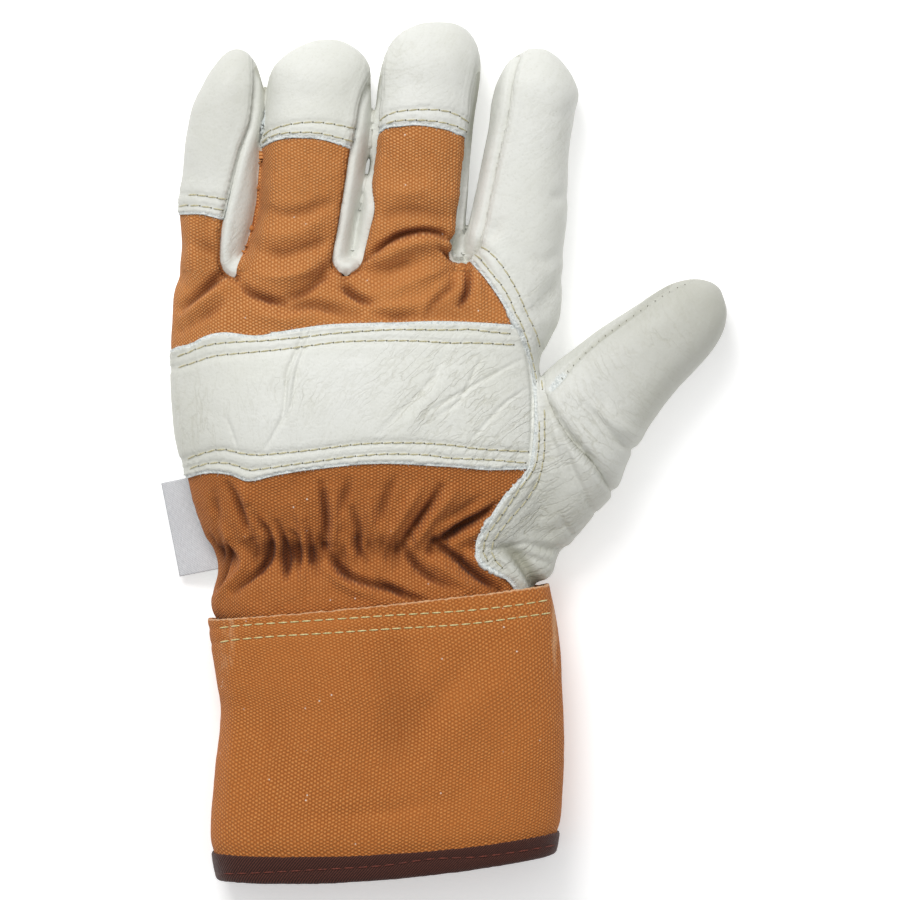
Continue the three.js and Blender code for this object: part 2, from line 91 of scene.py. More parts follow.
# Each finger: its tip's y, its height, and rows of y, left edge, right edge
FINGERS = {
    "little": (127.5, 22, [
        (42, -79.2, -67.8), (56, -83, -64), (65.5, -82.4, -61.4), (78, -83.3, -58.6), (84, -82.6, -58),
        (90.5, -82, -57.5), (97, -81.5, -57.2), (103, -80.5, -56.4), (109.5, -79, -56.3), (115.5, -76, -56.9),
        (119, -74.2, -57.8), (122, -72, -58.7), (124.5, -70, -60.3), (126.5, -67.8, -62.4),
    ]),
    "ring": (130.2, 25, [
        (42, -57.5, -36.5), (56, -64.5, -29.5), (65.5, -61.2, -28.4), (71.5, -59.2, -27.6),
        (78, -58.1, -26.3), (84, -57.6, -25.1), (90.5, -57.2, -24.4), (97, -56.8, -23.5), (103, -56, -23),
        (112.5, -55.6, -22.8), (119, -54.6, -22.8), (122, -53, -23.4), (125, -49.8, -25),
        (127.5, -45.5, -28.2), (129.5, -40.5, -32),
    ]),
    "middle": (135.3, 26, [
        (42, -22.5, -1.5), (56, -29.5, 5.5), (65.5, -27.4, 6.0), (71.5, -26.5, 6.9), (78, -25.3, 7.6),
        (84, -24.6, 8), (90.5, -23.1, 8.4), (97, -22.6, 9), (103, -22, 9.6), (109.5, -21.2, 10.5),
        (115.5, -20.6, 11.5), (122, -19.5, 12), (125, -18.2, 11.7), (128.5, -16.5, 10.6), (131.5, -14, 9),
        (133.5, -10.5, 6.8), (135, -6.5, 3.4),
    ]),
    "index": (127.5, 25.5, [
        (42, 12.3, 31.2), (56, 6.5, 37.5), (65.5, 7.1, 38.2), (71.5, 8.1, 38.9), (78, 9.5, 39.4),
        (90.5, 12, 39.5), (97, 13.3, 40), (103, 14.5, 41), (109.5, 15.1, 42.5), (112.5, 15.8, 43),
        (115.5, 16.5, 42.2), (119, 18.2, 40.6), (122, 20, 38.4), (124.5, 22.6, 36), (126.5, 26, 33),
    ]),
}
DOME = 15.0  # the length over which a fingertip rounds off
FULLEST_ROUNDING = 0.98
HIDDEN_ROOT = 44  # up to this y a finger lies inside the hand, at this share of its height
ROOT_FULLNESS = 0.6

# inner edge x, y, outer edge x, y, bottom, top
THUMB = [
    (12, 8, 34.5, -34, 3, 21),
    (20, 14, 40.5, -28.5, PRESSED, 25.5),
    (28.5, 21.5, 47.5, -20, PRESSED, 28),
    (33.5, 26.2, 53.8, -13.2, PRESSED, 28.5),
    (38.3, 31.2, 57, -5, PRESSED, 28),
    (49.5, 39.8, 64, 6.8, PRESSED, 27),
    (62, 47.3, 72.2, 18.2, PRESSED, 26),
    (71.3, 52.9, 79.8, 26.3, PRESSED, 24.5),
    (77.8, 54.7, 85, 32.4, 0.3, 22.5),
    (83.2, 54.2, 88.2, 38.2, 2.5, 20),
    (86.6, 52.2, 89.3, 43.5, 5.5, 16.5),
]

# The rolled leather at the bottom of each gap between two fingers: x, y, half width, half length, top
CROTCHES = [
    (-63.6, 56.5, 3.6, 4.6, 20),
    (-29.5, 56.5, 4.2, 4.2, 21.5),
    (5.4, 58, 2.5, 3, 20.5),
]
# Below them the gaps are closed by low webs: x, y, half width, half length, top
WEBS = [
    (-61.5, 65.5, 2.7, 5.5, 13), (-59.7, 72, 2.6, 6, 12.5), (-58.3, 79.5, 2.6, 6.5, 12.5),
    (-57.6, 88, 2.6, 7.5, 12.5), (-57, 98, 2.6, 8, 12.5), (-56.3, 107, 2.4, 7, 12),
    (-28.2, 66, 2.7, 5.5, 13.5), (-27, 72, 2.6, 6, 13), (-25.7, 78.5, 2.5, 5.5, 12.5),
    (-22.9, 100.5, 2.4, 7, 12.5), (6.6, 64.5, 2.4, 4.2, 13),
]

# left edge x, y, right edge x, y, bottom, top, how far the middle sags towards the wrist end
CUFF = [
    (-74, -52.5, 33.5, -41.5, PRESSED, 33, 0.9),
    (-73, -60.5, 36, -54.5, PRESSED, 34, 0.9),
    (-71, -73, 37, -71.5, PRESSED, 34.5, 1),
    (-69.8, -82.5, 38, -85, PRESSED, 34.5, 1.5),
    (-71.7, -99, 38, -99, PRESSED, 34.8, 2),
    (-73, -119, 37, -114, PRESSED, 35.5, 2.8),
    (-71.9, -126, 35.8, -119.5, 1.1, 34.4, 3),
    (-70.6, -133.2, 35, -125, 1.1, 34.2, 3),
]

AROUND_CUFF = 290  # mesh steps round the cuff and its tape

# Seams and edges seen from above, as smooth curves through these points
SEAMS = {
    "little": [
        (-59.5, 131), (-58.6, 118.5), (-58.9, 111), (-60, 103.5), (-63, 95), (-65, 88), (-67.1, 80),
        (-68.5, 74.5), (-69.6, 68.5), (-69.8, 62), (-69.2, 58.5), (-67.7, 56.2), (-65.1, 55.2),
    ],
    "little_gap": [
        (-65.1, 55.2), (-64.6, 58), (-63.5, 61.2), (-61.8, 65.7), (-60.2, 71.5), (-58.9, 78), (-58.3, 84),
        (-57.7, 90.5), (-57, 97), (-56.3, 103), (-56, 117), (-57, 131),
    ],
    "ring": [
        (-20.8, 133), (-21.2, 121), (-24.7, 111.5), (-26.6, 103), (-28.3, 95.5), (-31, 77.5), (-32.6, 68.5),
        (-33.9, 62), (-34, 59.6), (-33.3, 57.9), (-32.1, 56.9), (-30.5, 56.6),
    ],
    "middle_left": [
        (-30.5, 56.6), (-28.8, 56.9), (-27.4, 57.9), (-26.4, 59.5), (-25.8, 63), (-24.1, 70), (-22.4, 76.8),
        (-23.2, 83.6), (-22.2, 94), (-20.5, 106), (-19.8, 122), (-17, 139),
    ],
    "middle_right": [
        (14, 137), (12.2, 122), (8.9, 105), (6.9, 88), (5.1, 72), (4.5, 68), (3.8, 64.8), (3.2, 62),
        (4, 60.6), (7, 60.6),
    ],
    "index": [
        (7, 60.6), (8.4, 62.4), (10.4, 65.3), (12.3, 71.6), (14, 80), (17, 94), (20, 107), (21.6, 119),
        (26, 131),
    ],
    "wing": [
        (7, 60.6), (8.6, 59.8), (10.2, 58.1), (13.3, 54.4), (18, 47.5), (22.5, 39.5), (25.5, 33), (27.5, 26),
        (28.7, 12), (27.6, -1.5), (25.5, -7), (19.5, -13), (14.5, -20.5), (10.8, -27), (10.1, -30.2),
        (10.8, -33.4), (13.2, -36.1), (17.5, -38.6), (20.8, -40.8), (22.8, -44), (24, -49), (26, -66),
    ],
    "strap_top": [
        (-95, 28.5), (-88, 30.8), (-83.5, 33), (-79, 34), (-74, 36.5), (-68, 37.5), (-58.5, 36.5), (-49, 38),
        (-35, 40), (-17, 40.5), (2, 41), (30, 39.5),
    ],
    "strap_bottom": [
        (-95, -11), (-86, -9.5), (-81.5, -8.5), (-74, -6.5), (-66.5, -7), (-60.5, -9), (-51.5, -7), (-38, -5),
        (-20, -3.5), (2, -4.5), (14.5, -5.5), (30, -5),
    ],
    "cap_little": [(-95, 74.8), (-80, 74.8), (-75, 74.5), (-66, 72)],
    "cap_ring": [(-62, 94.6), (-57, 96), (-53.5, 97.5), (-49, 98.5), (-44, 98.5), (-38, 98), (-26, 94.6)],
    "cap_middle": [(-24, 97.6), (-18, 101.5), (-14, 102), (-8, 102.5), (-1, 101.5), (3, 100.5), (10, 97.6)],
    "thumb": [(37, 35), (32.6, 26), (32.4, 17), (39.5, 4.5), (49, -5.5), (58, -20)],
}

# Rows of stitches over leather, seen from above
STITCH_ROWS = {
    "cap_little": [
        [(-83.5, 77.6), (-77.2, 77.5), (-72.5, 76.7), (-68.9, 75.9)],
        [(-83.3, 81.1), (-77.2, 80.8), (-72.5, 80.1), (-67.9, 79.4)],
    ],
    "cap_ring": [
        [(-57.4, 97.4), (-53.7, 99.4), (-48.8, 100.2), (-40.5, 100.2), (-34.4, 99.1), (-28.1, 97.4)],
        [(-56.9, 99.6), (-53.1, 101.6), (-47.7, 102.9), (-41.1, 103.5), (-34.4, 102.9), (-27.4, 101.5)],
    ],
    "cap_middle": [
        [(-20.8, 101.2), (-17.2, 103.4), (-11.2, 104.1), (-2.2, 103.7), (4.4, 102.2), (7.5, 100.6)],
        [(-20.2, 104), (-16.1, 106.4), (-9.4, 107.3), (-2.2, 107.3), (2, 106.7), (5.7, 105.2), (8, 103.5)],
    ],
    "knuckle_strap": [
        [(-87, 29.6), (-81.5, 30.7), (-74.2, 33.5), (-65.2, 34.5), (-56.1, 34.9), (-45.4, 35.9), (-35, 37.1),
         (-24.9, 37.9), (-14, 38.4), (2.2, 38.3), (8.2, 38.5), (14.2, 37.8), (24.3, 36.9)],
        [(-86.6, 25.8), (-79.1, 27.8), (-71.8, 30.1), (-62.1, 31.1), (-51.3, 32.1), (-42.8, 33.2),
         (-32.1, 34.5), (-20, 34.9), (-7.9, 34.8), (2.2, 34.2), (11.2, 34.2), (25.6, 33.5)],
        [(-83.5, -3.2), (-76.6, -0.7), (-69.4, 1), (-63.4, -0.2), (-58, -0.8), (-50.1, -0.2), (-38.1, 1.1),
         (-26, 2.6), (-11, 3), (2.2, 2.3), (11.2, 1.1), (26.8, 0.2)],
        [(-83, -6), (-74.2, -3.6), (-70, -3.2), (-65.2, -3.8), (-61, -5.5), (-56.1, -5.1), (-47.1, -3.8),
         (-38.1, -2.6), (-28.4, -1.3), (-17, -0.5), (-5, -0.8), (2.2, -1.8), (14.2, -2.3), (26, -3.3)],
    ],
    "palm": [
        [(9.8, 62.5), (12.3, 60), (15.3, 56), (18.3, 52.4), (20.8, 48.2), (22.5, 44), (24.5, 40.3),
         (26.9, 33.6), (28.4, 27.5), (29.4, 22.2)],
        [(11.7, 64.8), (15.3, 62.2), (18.9, 57.9), (21.9, 53), (24.3, 48.3), (26.8, 42.3), (29, 37.9),
         (30.6, 31.9), (31.2, 19.7)],
        [(31.8, 13.7), (31.8, 5.3), (31.6, -1.3), (30.2, -8), (28.2, -11.8), (25.5, -15.8), (20.4, -21.6),
         (16.5, -26.7), (15.2, -29.9), (15.8, -32.8), (18.6, -36.2)],
        [(30.2, 10), (30, 2), (29, -4), (26.6, -8), (23.7, -11.8), (20.8, -16.2), (17.2, -21.3),
         (14.3, -25.2), (12.9, -28.5), (12.7, -31.4), (13.9, -33.9)],
    ],
    "thumb": [
        [(36.5, 22.2), (39.9, 26.1), (44.4, 30.7), (48.5, 34.5), (53.4, 38.4), (60.1, 43), (66.1, 47.2),
         (72.8, 51.3), (77.5, 53.4)],
    ],
}

# Folds of the canvas: depth (minus is a valley), half width, then points
CANVAS_FOLDS = [
    (-2.6, 1.3, [(-24.5, 60.5), (-22, 63), (-15.8, 67.1), (-11.4, 68.6), (-7, 69.4), (-3, 69.2), (0.5, 68.2),
                 (3.4, 66)]),
    (1.9, 2.8, [(-22, 58.5), (-14, 63.6), (-6, 65.8), (0, 64.8)]),
    (-1.8, 1.1, [(-1.5, 64), (0.8, 62.8), (2.9, 60.2)]),
    (-1.1, 2.2, [(-25, 57), (-17, 57.5), (-9, 60)]),
    (1.4, 2.8, [(-21, 48.8), (-12, 52), (-4, 55.5), (2, 57.5)]),
    (-1.8, 1.8, [(-31, 54), (-29.5, 51), (-26, 48.4), (-21, 46.5)]),
    (1.2, 2.6, [(-27, 46), (-20, 44.5), (-10, 46), (0, 48)]),
    (-1.9, 1.3, [(7.7, 58.6), (8, 55.5), (7.6, 51), (5.5, 46.5)]),
    (1.0, 2.2, [(10.5, 55), (11, 49), (12, 44)]),
    (-1.9, 1.9, [(-67.5, 58), (-71, 54.6), (-76, 50.2), (-82, 45.5)]),
    (1.4, 2.8, [(-68, 53), (-74, 48.2), (-81, 42)]),
    (-1.2, 2.2, [(-68, 49.5), (-74, 44.2), (-82, 39)]),
    (-1.8, 1.7, [(-64, 54), (-60, 50.5), (-55, 48.5), (-50, 47)]),
    (1.5, 3.2, [(-64, 60), (-57, 55.5), (-48, 54), (-40, 56)]),
    (-1.7, 2.2, [(-34.5, 59.5), (-39, 54.8), (-44, 51), (-50, 48.6)]),
    (1.3, 2.8, [(-37, 62), (-44, 57), (-51, 54.5)]),
    (-1.0, 2.2, [(-58, 64), (-50, 62.5), (-42, 64.5), (-36, 67)]),
    (0.9, 2.8, [(-58, 69), (-48, 68), (-37, 73)]),
    (-0.7, 2.2, [(-57, 77), (-47, 75), (-34, 79)]),
    (-0.7, 2.2, [(-78, 66), (-72, 63), (-70, 60)]),
    (-1.1, 2.4, [(-50, 44), (-42, 46.5), (-34, 45), (-27, 43.5)]),
    (0.9, 2.6, [(-60, 44.5), (-50, 41.5), (-40, 43)]),
    (-0.8, 2.4, [(-21, 74), (-10, 76), (4, 74)]),
    (0.8, 3.0, [(-20, 80), (-8, 82), (5, 80)]),
    # The next two broad, shallow hollows are there mostly for the painted shade that they give the canvas
    (-0.62, 6.0, [(-24, 45), (-10, 46), (2, 46.5), (15, 45)]),
    (-0.3, 7.0, [(-79, 48), (-76, 59), (-76, 71)]),
    (-1.3, 1.8, [(-24, 44.5), (-16, 42.8), (-9, 43.6)]),
    (-1.1, 1.5, [(4, 57), (2, 52), (-3, 47), (-5, 43)]),
    (-0.8, 1.6, [(11.5, -14), (4, -19), (-2, -22)]),
    (-1.5, 1.5, [(-67.5, -10), (-65.2, -14), (-62.6, -21), (-60.8, -27.3)]),
    (1.2, 1.7, [(-63, -9), (-60.5, -17), (-57.5, -25)]),
    (-1.9, 1.4, [(-60.5, -17), (-58.1, -21.3), (-54.7, -26.3), (-54.3, -32.3), (-58, -37), (-66.2, -43.3)]),
    (1.4, 1.7, [(-71.5, -20), (-67, -28), (-63, -33), (-64, -38), (-70, -44)]),
    (-1.5, 1.2, [(-52, -22), (-50.1, -27.3), (-49.1, -33), (-49.4, -39.9)]),
    (-1.2, 1.1, [(-47.5, -25), (-45.4, -27.3), (-45, -33), (-45.6, -38)]),
    (-1.4, 1.2, [(-43, -22), (-41.6, -28.9), (-41.5, -34)]),
    (1.2, 1.5, [(-46.8, -16), (-43.5, -24), (-43.4, -32), (-44, -42)]),
    (-1.7, 1.5, [(-38, -10), (-37.3, -15), (-36.6, -22), (-36.9, -29)]),
    (1.3, 1.6, [(-34, -12), (-33.6, -20), (-34.4, -30)]),
    (-1.6, 1.5, [(-36, -29.5), (-34.3, -33.9), (-29.3, -38.3), (-22, -41), (-13.5, -43)]),
    (1.2, 1.7, [(-38, -33), (-35, -38), (-29, -42.5), (-20, -45.5)]),
    (-1.3, 1.3, [(-28.5, -18), (-26.3, -24.5), (-26.6, -30), (-24, -34)]),
    (1.1, 1.6, [(-23, -14), (-22.5, -22), (-21, -29)]),
    (-1.9, 1.6, [(-0.5, -11), (-4, -16.5), (-9, -23.5), (-14.2, -30.4)]),
    (1.5, 2.0, [(4, -12), (-2, -19), (-8, -27), (-9, -31)]),
    (1.2, 1.8, [(-7, -11), (-12, -19), (-17.5, -27.5)]),
    (-2.6, 1.5, [(18.5, -15.5), (12, -20), (4, -24.6), (-1.8, -27.9)]),
    (1.5, 1.9, [(17, -20), (9, -26), (3, -30.5)]),
    (-2.6, 1.5, [(-2.4, -28.1), (1.4, -31), (4.9, -33.6), (11, -38.4), (17.6, -43)]),
    (1.4, 1.8, [(-5, -33), (1, -37.5), (8, -42)]),
    (-1.8, 1.3, [(9, -21.5), (5, -24), (0.8, -27)]),
    (1.6, 1.6, [(7, -31), (12, -34.5), (17, -38.5)]),
    (-1.6, 1.4, [(-19.8, -40.2), (-16.5, -42), (-13.2, -43.8), (-5.4, -46.5)]),
    (-1.3, 1.4, [(-12, -30), (-9.5, -34), (-4, -38.5), (4, -42.5)]),
    (-1.5, 1.3, [(-67.2, -28), (-67.8, -32.3), (-68.6, -37), (-72, -44)]),
    (-1.0, 1.6, [(-72, -13), (-70.5, -22), (-69, -29)]),
    (-0.9, 1.6, [(-29, -9), (-31, -14), (-32.5, -20)]),
    (-0.9, 1.8, [(-15, -8), (-18, -15), (-20, -22)]),
]
ELASTIC = [(-74, -32.5), (-60, -30.5), (-45, -31.5), (-30, -31), (-14, -30.5), (-2, -29.5), (8, -31)]

# Creases and hollows of the leather: depth, half width, then points
LEATHER_FOLDS = [
    (-2.3, 1.2, [(31.8, 17.4), (34.7, 12.5), (38.4, 6.5), (43.2, 0.8), (47.4, -3.7), (50.4, -8), (53.4, -12),
                 (56, -15)]),
    (1.2, 3.0, [(37, 15.5), (42, 8.5), (47, 2.5), (52, -3), (56, -8)]),
    (0.8, 2.4, [(33.5, 9), (38, 2.5), (43, -3.5), (48, -9.5)]),
    (-1.4, 1.2, [(44, 15), (46.5, 12.5), (50.4, 8.3), (53.4, 5), (56.4, 2.3), (60.5, 0.4), (63, -0.6)]),
    (1.0, 2.2, [(49, 13.5), (53.5, 9.5), (58, 6.5), (62, 4.8)]),
    (-0.5, 1.2, [(44.4, 29.4), (47, 24.5), (50.4, 18.6), (51, 15)]),
    (-0.9, 1.0, [(35, 8), (37.6, 3), (39.2, -1.5), (40.8, -6), (43.8, -12), (46.2, -17), (48.6, -19.5),
                 (51, -21)]),
    (-0.5, 0.8, [(34, 5.5), (36.2, -1), (37.6, -7)]),
    (-1.2, 1.7, [(31.8, 21), (32.8, 13), (33.4, 6), (33.8, -4)]),
    (-1.0, 2.6, [(36, 27.2), (41, 32), (47, 36), (54, 40.5), (62, 45.3)]),
    (-1.0, 0.8, [(32.4, 18.8), (34.8, 20.6), (37, 23), (39.2, 25.6)]),
    (-2.6, 1.0, [(5.6, 69), (5.2, 65), (4.9, 61.4)]),
    (-4.2, 2.3, [(18.6, -29.8), (22.2, -31.6), (25.4, -34.8), (27.8, -38.4), (30, -42.5), (31, -47)]),
    (1.2, 1.5, [(15.5, -31.5), (19.5, -34.2), (22.4, -37.4), (24.8, -41), (26, -46)]),
    (-0.8, 0.6, [(13, -29.6), (17, -30.2), (21, -29.4), (26.5, -28.4)]),
    (-0.6, 0.5, [(12.6, -31.6), (16.2, -31.9), (19.5, -31)]),
    (-1.5, 1.3, [(38.4, -30.4), (34.6, -30.6), (31, -29.6), (27.5, -29)]),
    (-0.7, 0.9, [(25.5, -31.5), (30, -33.8), (34.5, -35.2)]),
    (-0.6, 2.0, [(28, -25), (34, -25.5), (40, -22)]),
    (-0.7, 0.9, [(41.5, -26.5), (38.6, -23.5), (36.8, -19.5)]),
    (-0.9, 0.8, [(24.6, 35.4), (26.5, 28), (27.7, 18), (27.8, 8), (27, -0.5)]),
    (-0.7, 2.6, [(38.5, 63), (33, 60), (28, 61)]),
    (-0.6, 2.2, [(39.8, 82), (36, 80), (33, 81)]),
    (-0.4, 2.4, [(44, 110), (38, 106), (33, 107)]),
    (-0.8, 2.0, [(8, 63), (13, 66), (18, 72)]),
    (-0.9, 0.5, [(-43.2, 38), (-46, 31), (-48.6, 24), (-49.6, 13), (-52, 7), (-55.1, 1.7)]),
    (-0.8, 0.45, [(-41.4, 38), (-43.8, 31), (-45.9, 24), (-47.2, 15), (-50.4, 8.6)]),
    (0.5, 1.2, [(-44.5, 30), (-47.2, 23), (-48.4, 13)]),
    (-0.6, 0.5, [(-67.5, 11), (-65.6, 6), (-64, 1)]),
    (-0.6, 0.5, [(-6, 12), (0, 15.5), (8, 20), (16, 24.5), (24, 29)]),
    (-0.5, 0.5, [(-2, 11), (5, 16), (9, 24), (12, 30)]),
    (-0.5, 0.5, [(8, 3), (14, 10), (20, 16), (26, 20)]),
    (-0.4, 0.8, [(-20, 6), (-12, 14), (-4, 22), (0, 30)]),
    (0.5, 2.5, [(-14, 5), (-6, 14), (2, 24)]),
]

# Folds of the cuff: depth, half width, then points
CUFF_FOLDS = [
    (-1.5, 9.0, [(-17, -56), (-16, -68), (-15, -80), (-15.4, -102)]),
    (-0.9, 4.5, [(12, -60), (-1, -75), (-14, -90)]),
    (0.7, 5.0, [(22, -68), (8, -83), (-4, -98)]),
    (-0.5, 4.5, [(28, -80), (16, -95), (6, -110)]),
    (0.8, 8.0, [(-32, -60), (-31, -80), (-30, -108)]),
    (0.9, 2.6, [(-66.5, -58), (-65, -82), (-67, -112)]),
    (-0.7, 6.0, [(-50, -64), (-52, -90), (-49, -112)]),
    (-0.6, 2.6, [(-40, -114), (-20, -112), (4, -108)]),
    (0.7, 1.4, [(35.5, -56), (36.2, -66), (36.8, -80)]),
]


# Small tools

def smooth_rows(rows, steps):
    """The rows of a table joined by a smooth curve, with this many steps from each row to the next."""
    rows = np.array(rows, float)
    ends = np.vstack([2 * rows[0] - rows[1], rows, 2 * rows[-1] - rows[-2]])
    out = []
    for before, a, b, after in zip(ends, ends[1:], ends[2:], ends[3:]):
        for t in np.linspace(0, 1, steps, endpoint=False):
            bend = (2 * before - 5 * a + 4 * b - after) * t + (3 * a - before - 3 * b + after) * t * t
            out.append(a + 0.5 * ((b - before) * t + bend * t))
    out.append(rows[-1])
    return np.array(out)


def line_distance(points, line, reach=1e9):
    """How far each point is from a line seen from above, and what share of the line has passed there.
    Points further than the reach are only told to be far."""
    low, high = line.min(0) - reach, line.max(0) + reach
    close = np.all((points > low) & (points < high), axis=1)
    if not close.all():
        best, share = np.full(len(points), reach), np.zeros(len(points))
        if close.any():
            best[close], share[close] = line_distance(points[close], line)
        return best, share
    best = np.full(len(points), 1e9)
    share = np.zeros(len(points))
    passed = 0.0
    for a, b in zip(line, line[1:]):
        step = b - a
        length = math.hypot(*step)
        if length < 1e-9:
            continue
        t = np.clip((points - a) @ step / length**2, 0, 1)
        away = points - a - t[:, None] * step
        gap = np.hypot(away[:, 0], away[:, 1])
        closer = gap < best
        best[closer] = gap[closer]
        share[closer] = passed + t[closer] * length
        passed += length
    return best, share / passed


def signed_distance(points, ring):
    """How far inside an outline each point is, seen from above. Outside it is below zero."""
    margin = 8.0
    close = np.all((points > ring.min(0) - margin) & (points < ring.max(0) + margin), axis=1)
    x, y = points[close].T
    odd = np.zeros(len(x), bool)
    for (ax, ay), (bx, by) in zip(ring, np.roll(ring, -1, 0)):
        if ay != by:
            odd ^= ((ay > y) != (by > y)) & (x < (bx - ax) * (y - ay) / (by - ay) + ax)
    away = line_distance(points[close], np.vstack([ring, ring[:1]]))[0]
    values = np.full(len(points), -margin)
    values[close] = np.where(odd, away, -away)
    return values


def ease(values, low, high):
    t = np.clip((values - low) / (high - low), 0, 1)
    return t * t * (3 - 2 * t)


def to_mesh(bm, name):
    mesh = bpy.data.meshes.new(name)
    bm.to_mesh(mesh)
    bm.free()
    return mesh


def in_scene(name, data):
    """A new object of this mesh, light or camera."""
    made = bpy.data.objects.new(name, data)
    bpy.context.scene.collection.objects.link(made)
    return made


def places(bm):
    return np.array([v.co[:] for v in bm.verts])


def outward(bm):
    bm.normal_update()
    return np.array([v.normal[:] for v in bm.verts])


def put(bm, points):
    for v, point in zip(bm.verts, points):
        v.co = point


def smooth(bm, verts):
    bmesh.ops.smooth_vert(bm, verts=verts, factor=0.5, use_axis_x=True, use_axis_y=True, use_axis_z=True)


def rough(points, size, seed, octaves=2):
    """Smooth random numbers from about -1 to 1 at the points, with lumps of this size."""
    shift = Vector((seed * 17.3, seed * 5.1, seed * 9.7))
    return np.array([noise.fractal(Vector(p) / size + shift, 1.0, 2.0, octaves) for p in points])


SEAM_LINES = {name: smooth_rows(points, 5) for name, points in SEAMS.items()}


def outline(*steps):
    """An outline from seams and corners, in order. A name with a minus runs backwards."""
    parts = []
    for step in steps:
        if isinstance(step, tuple):
            parts.append(np.array([step], float))
        else:
            parts.append(SEAM_LINES[step[1:]][::-1] if step.startswith("-") else SEAM_LINES[step])
    return np.vstack(parts)


AREAS = {
    "thumb": outline("thumb", (100, -30), (100, 80), (60, 65), (46, 50)),
    "palm": outline("index", (30, 145), (70, 145), (70, -75), (26, -75), "-wing"),
    "fork_little_ring": outline("little", "little_gap", (-59, 145)),
    "fork_ring_middle": outline("ring", "middle_left", (-20, 145)),
    "fork_middle_index": outline("middle_right", "index", (20, 145)),
    "little": outline((-100, 54.5), "-little", (-61, 145), (-100, 145)),
    "ring": outline("-ring", (-22, 145), (-57, 145), "-little_gap"),
    "middle": outline("-middle_right", (13.5, 145), (-16, 145), "-middle_left"),
    "knuckle_strap": outline("strap_top", "-strap_bottom"),
    "above_cap_little": outline("cap_little", (-40, 72), (-40, 150), (-100, 150)),
    "above_cap_ring": outline("cap_ring", (-15, 94), (-15, 150), (-64, 150)),
    "above_cap_middle": outline("cap_middle", (20, 97), (20, 150), (-30, 150), (-30, 97)),
}


# The outlines that a panel lies inside, and whether it is only above the side seam
CAPPED = ("little", "ring", "middle")
FORKS = ("fork_little_ring", "fork_ring_middle", "fork_middle_index")
PANEL_AREAS = {
    "thumb": (("thumb",), False),
    "palm": (("palm",), False),
    "above_seam": ((), True),
    **{name: ((name,), True) for name in (*FORKS, "knuckle_strap")},
    **{"cap_" + finger: ((finger, "above_cap_" + finger), True) for finger in CAPPED},
}
CUT_ORDER = ("thumb", "above_seam", "palm", *FORKS, *("cap_" + finger for finger in CAPPED), "knuckle_strap")
LEATHER_PANELS = [name for name in CUT_ORDER if name != "above_seam"]


def area_field(name, points):
    """How far inside a panel's area each point is."""
    outlines, above = PANEL_AREAS[name]
    values = [signed_distance(points[:, :2], AREAS[outline_name]) for outline_name in outlines]
    if above:
        values.append(points[:, 2] - SIDE_SEAM)
    return np.min(values, axis=0)


# The even form of the hand

def tube(sections, underside, around=72):
    """A closed tube through sections of left x, y, right x, y, bottom, top."""
    bm = bmesh.new()
    last = len(sections) - 1
    bmesh.ops.create_grid(bm, x_segments=around, y_segments=last, size=1)
    for v in bm.verts:
        turn = v.co.x * math.pi
        x0, y0, x1, y1, bottom, top = sections[round((v.co.y + 1) / 2 * last)][:6]
        widest = bottom + (top - bottom) * WIDEST
        across, up = math.sin(turn), math.cos(turn)
        power = 2 / (TOP_POWER if up > 0 else underside)
        out = math.copysign(abs(across) ** power, across)
        rise = math.copysign(abs(up) ** power, up) * (top - widest if up > 0 else widest - bottom)
        v.co = ((x0 + x1) / 2 + out * (x1 - x0) / 2, (y0 + y1) / 2 + out * (y1 - y0) / 2, widest + rise)
    bmesh.ops.remove_doubles(bm, verts=bm.verts, dist=1e-3)
    bmesh.ops.holes_fill(bm, edges=[e for e in bm.edges if e.is_boundary], sides=0)
    bmesh.ops.recalc_face_normals(bm, faces=bm.faces)
    return bm


def hand_sections():
    for y, left, right, top in smooth_rows(HAND, 3):
        yield left + SLIM, y, right - SLIM, y, PRESSED + SLIM, top - SLIM


def finger_sections(tip, height, rows):
    for y, left, right in smooth_rows(rows, 4):
        from_tip = min(max((y - (tip - DOME)) / DOME, 0), FULLEST_ROUNDING)
        fullness = math.sqrt(1 - from_tip**2) if y > HIDDEN_ROOT else ROOT_FULLNESS
        widest = PRESSED + (height - PRESSED) * WIDEST
        yield (
            left + SLIM, y, right - SLIM, y,
            widest - (widest - PRESSED - SLIM) * fullness, widest + (height - SLIM - widest) * fullness,
        )


def thumb_sections():
    for x0, y0, x1, y1, bottom, top in smooth_rows(THUMB, 4):
        side = Vector((x1 - x0, y1 - y0)).normalized() * SLIM
        yield x0 + side.x, y0 + side.y, x1 - side.x, y1 - side.y, bottom + SLIM, top - SLIM


def even_form():
    """The hand, its fingers and its thumb as one even mesh."""
    forms = [tube(list(hand_sections()), HAND_UNDERSIDE, 120), tube(list(thumb_sections()), FINGER_UNDERSIDE)]
    forms += [tube(list(finger_sections(*finger)), FINGER_UNDERSIDE) for finger in FINGERS.values()]
    for x, y, half_width, half_length, top in CROTCHES + WEBS:
        bm = bmesh.new()
        height = top - SLIM - PRESSED
        place = Matrix.Translation((x, y, height / 2))
        place @= Matrix.Diagonal((half_width - SLIM, half_length - SLIM, 1, 1))
        bmesh.ops.create_cone(
            bm, cap_ends=True, segments=24, radius1=1, radius2=1, depth=height, matrix=place
        )
        forms.append(bm)
    whole = bmesh.new()
    for bm in forms:
        mesh = to_mesh(bm, "form")
        whole.from_mesh(mesh)
        bpy.data.meshes.remove(mesh)
    form = in_scene("form", to_mesh(whole, "form"))
    even = form.modifiers.new("even", "REMESH")
    even.mode = "VOXEL"
    even.voxel_size = VOXEL
    ready = form.evaluated_get(bpy.context.evaluated_depsgraph_get())
    bm = bmesh.new()
    bm.from_mesh(ready.to_mesh())
    bpy.data.objects.remove(form)
    for _ in range(SMOOTHINGS):
        smooth(bm, bm.verts)
    return bm


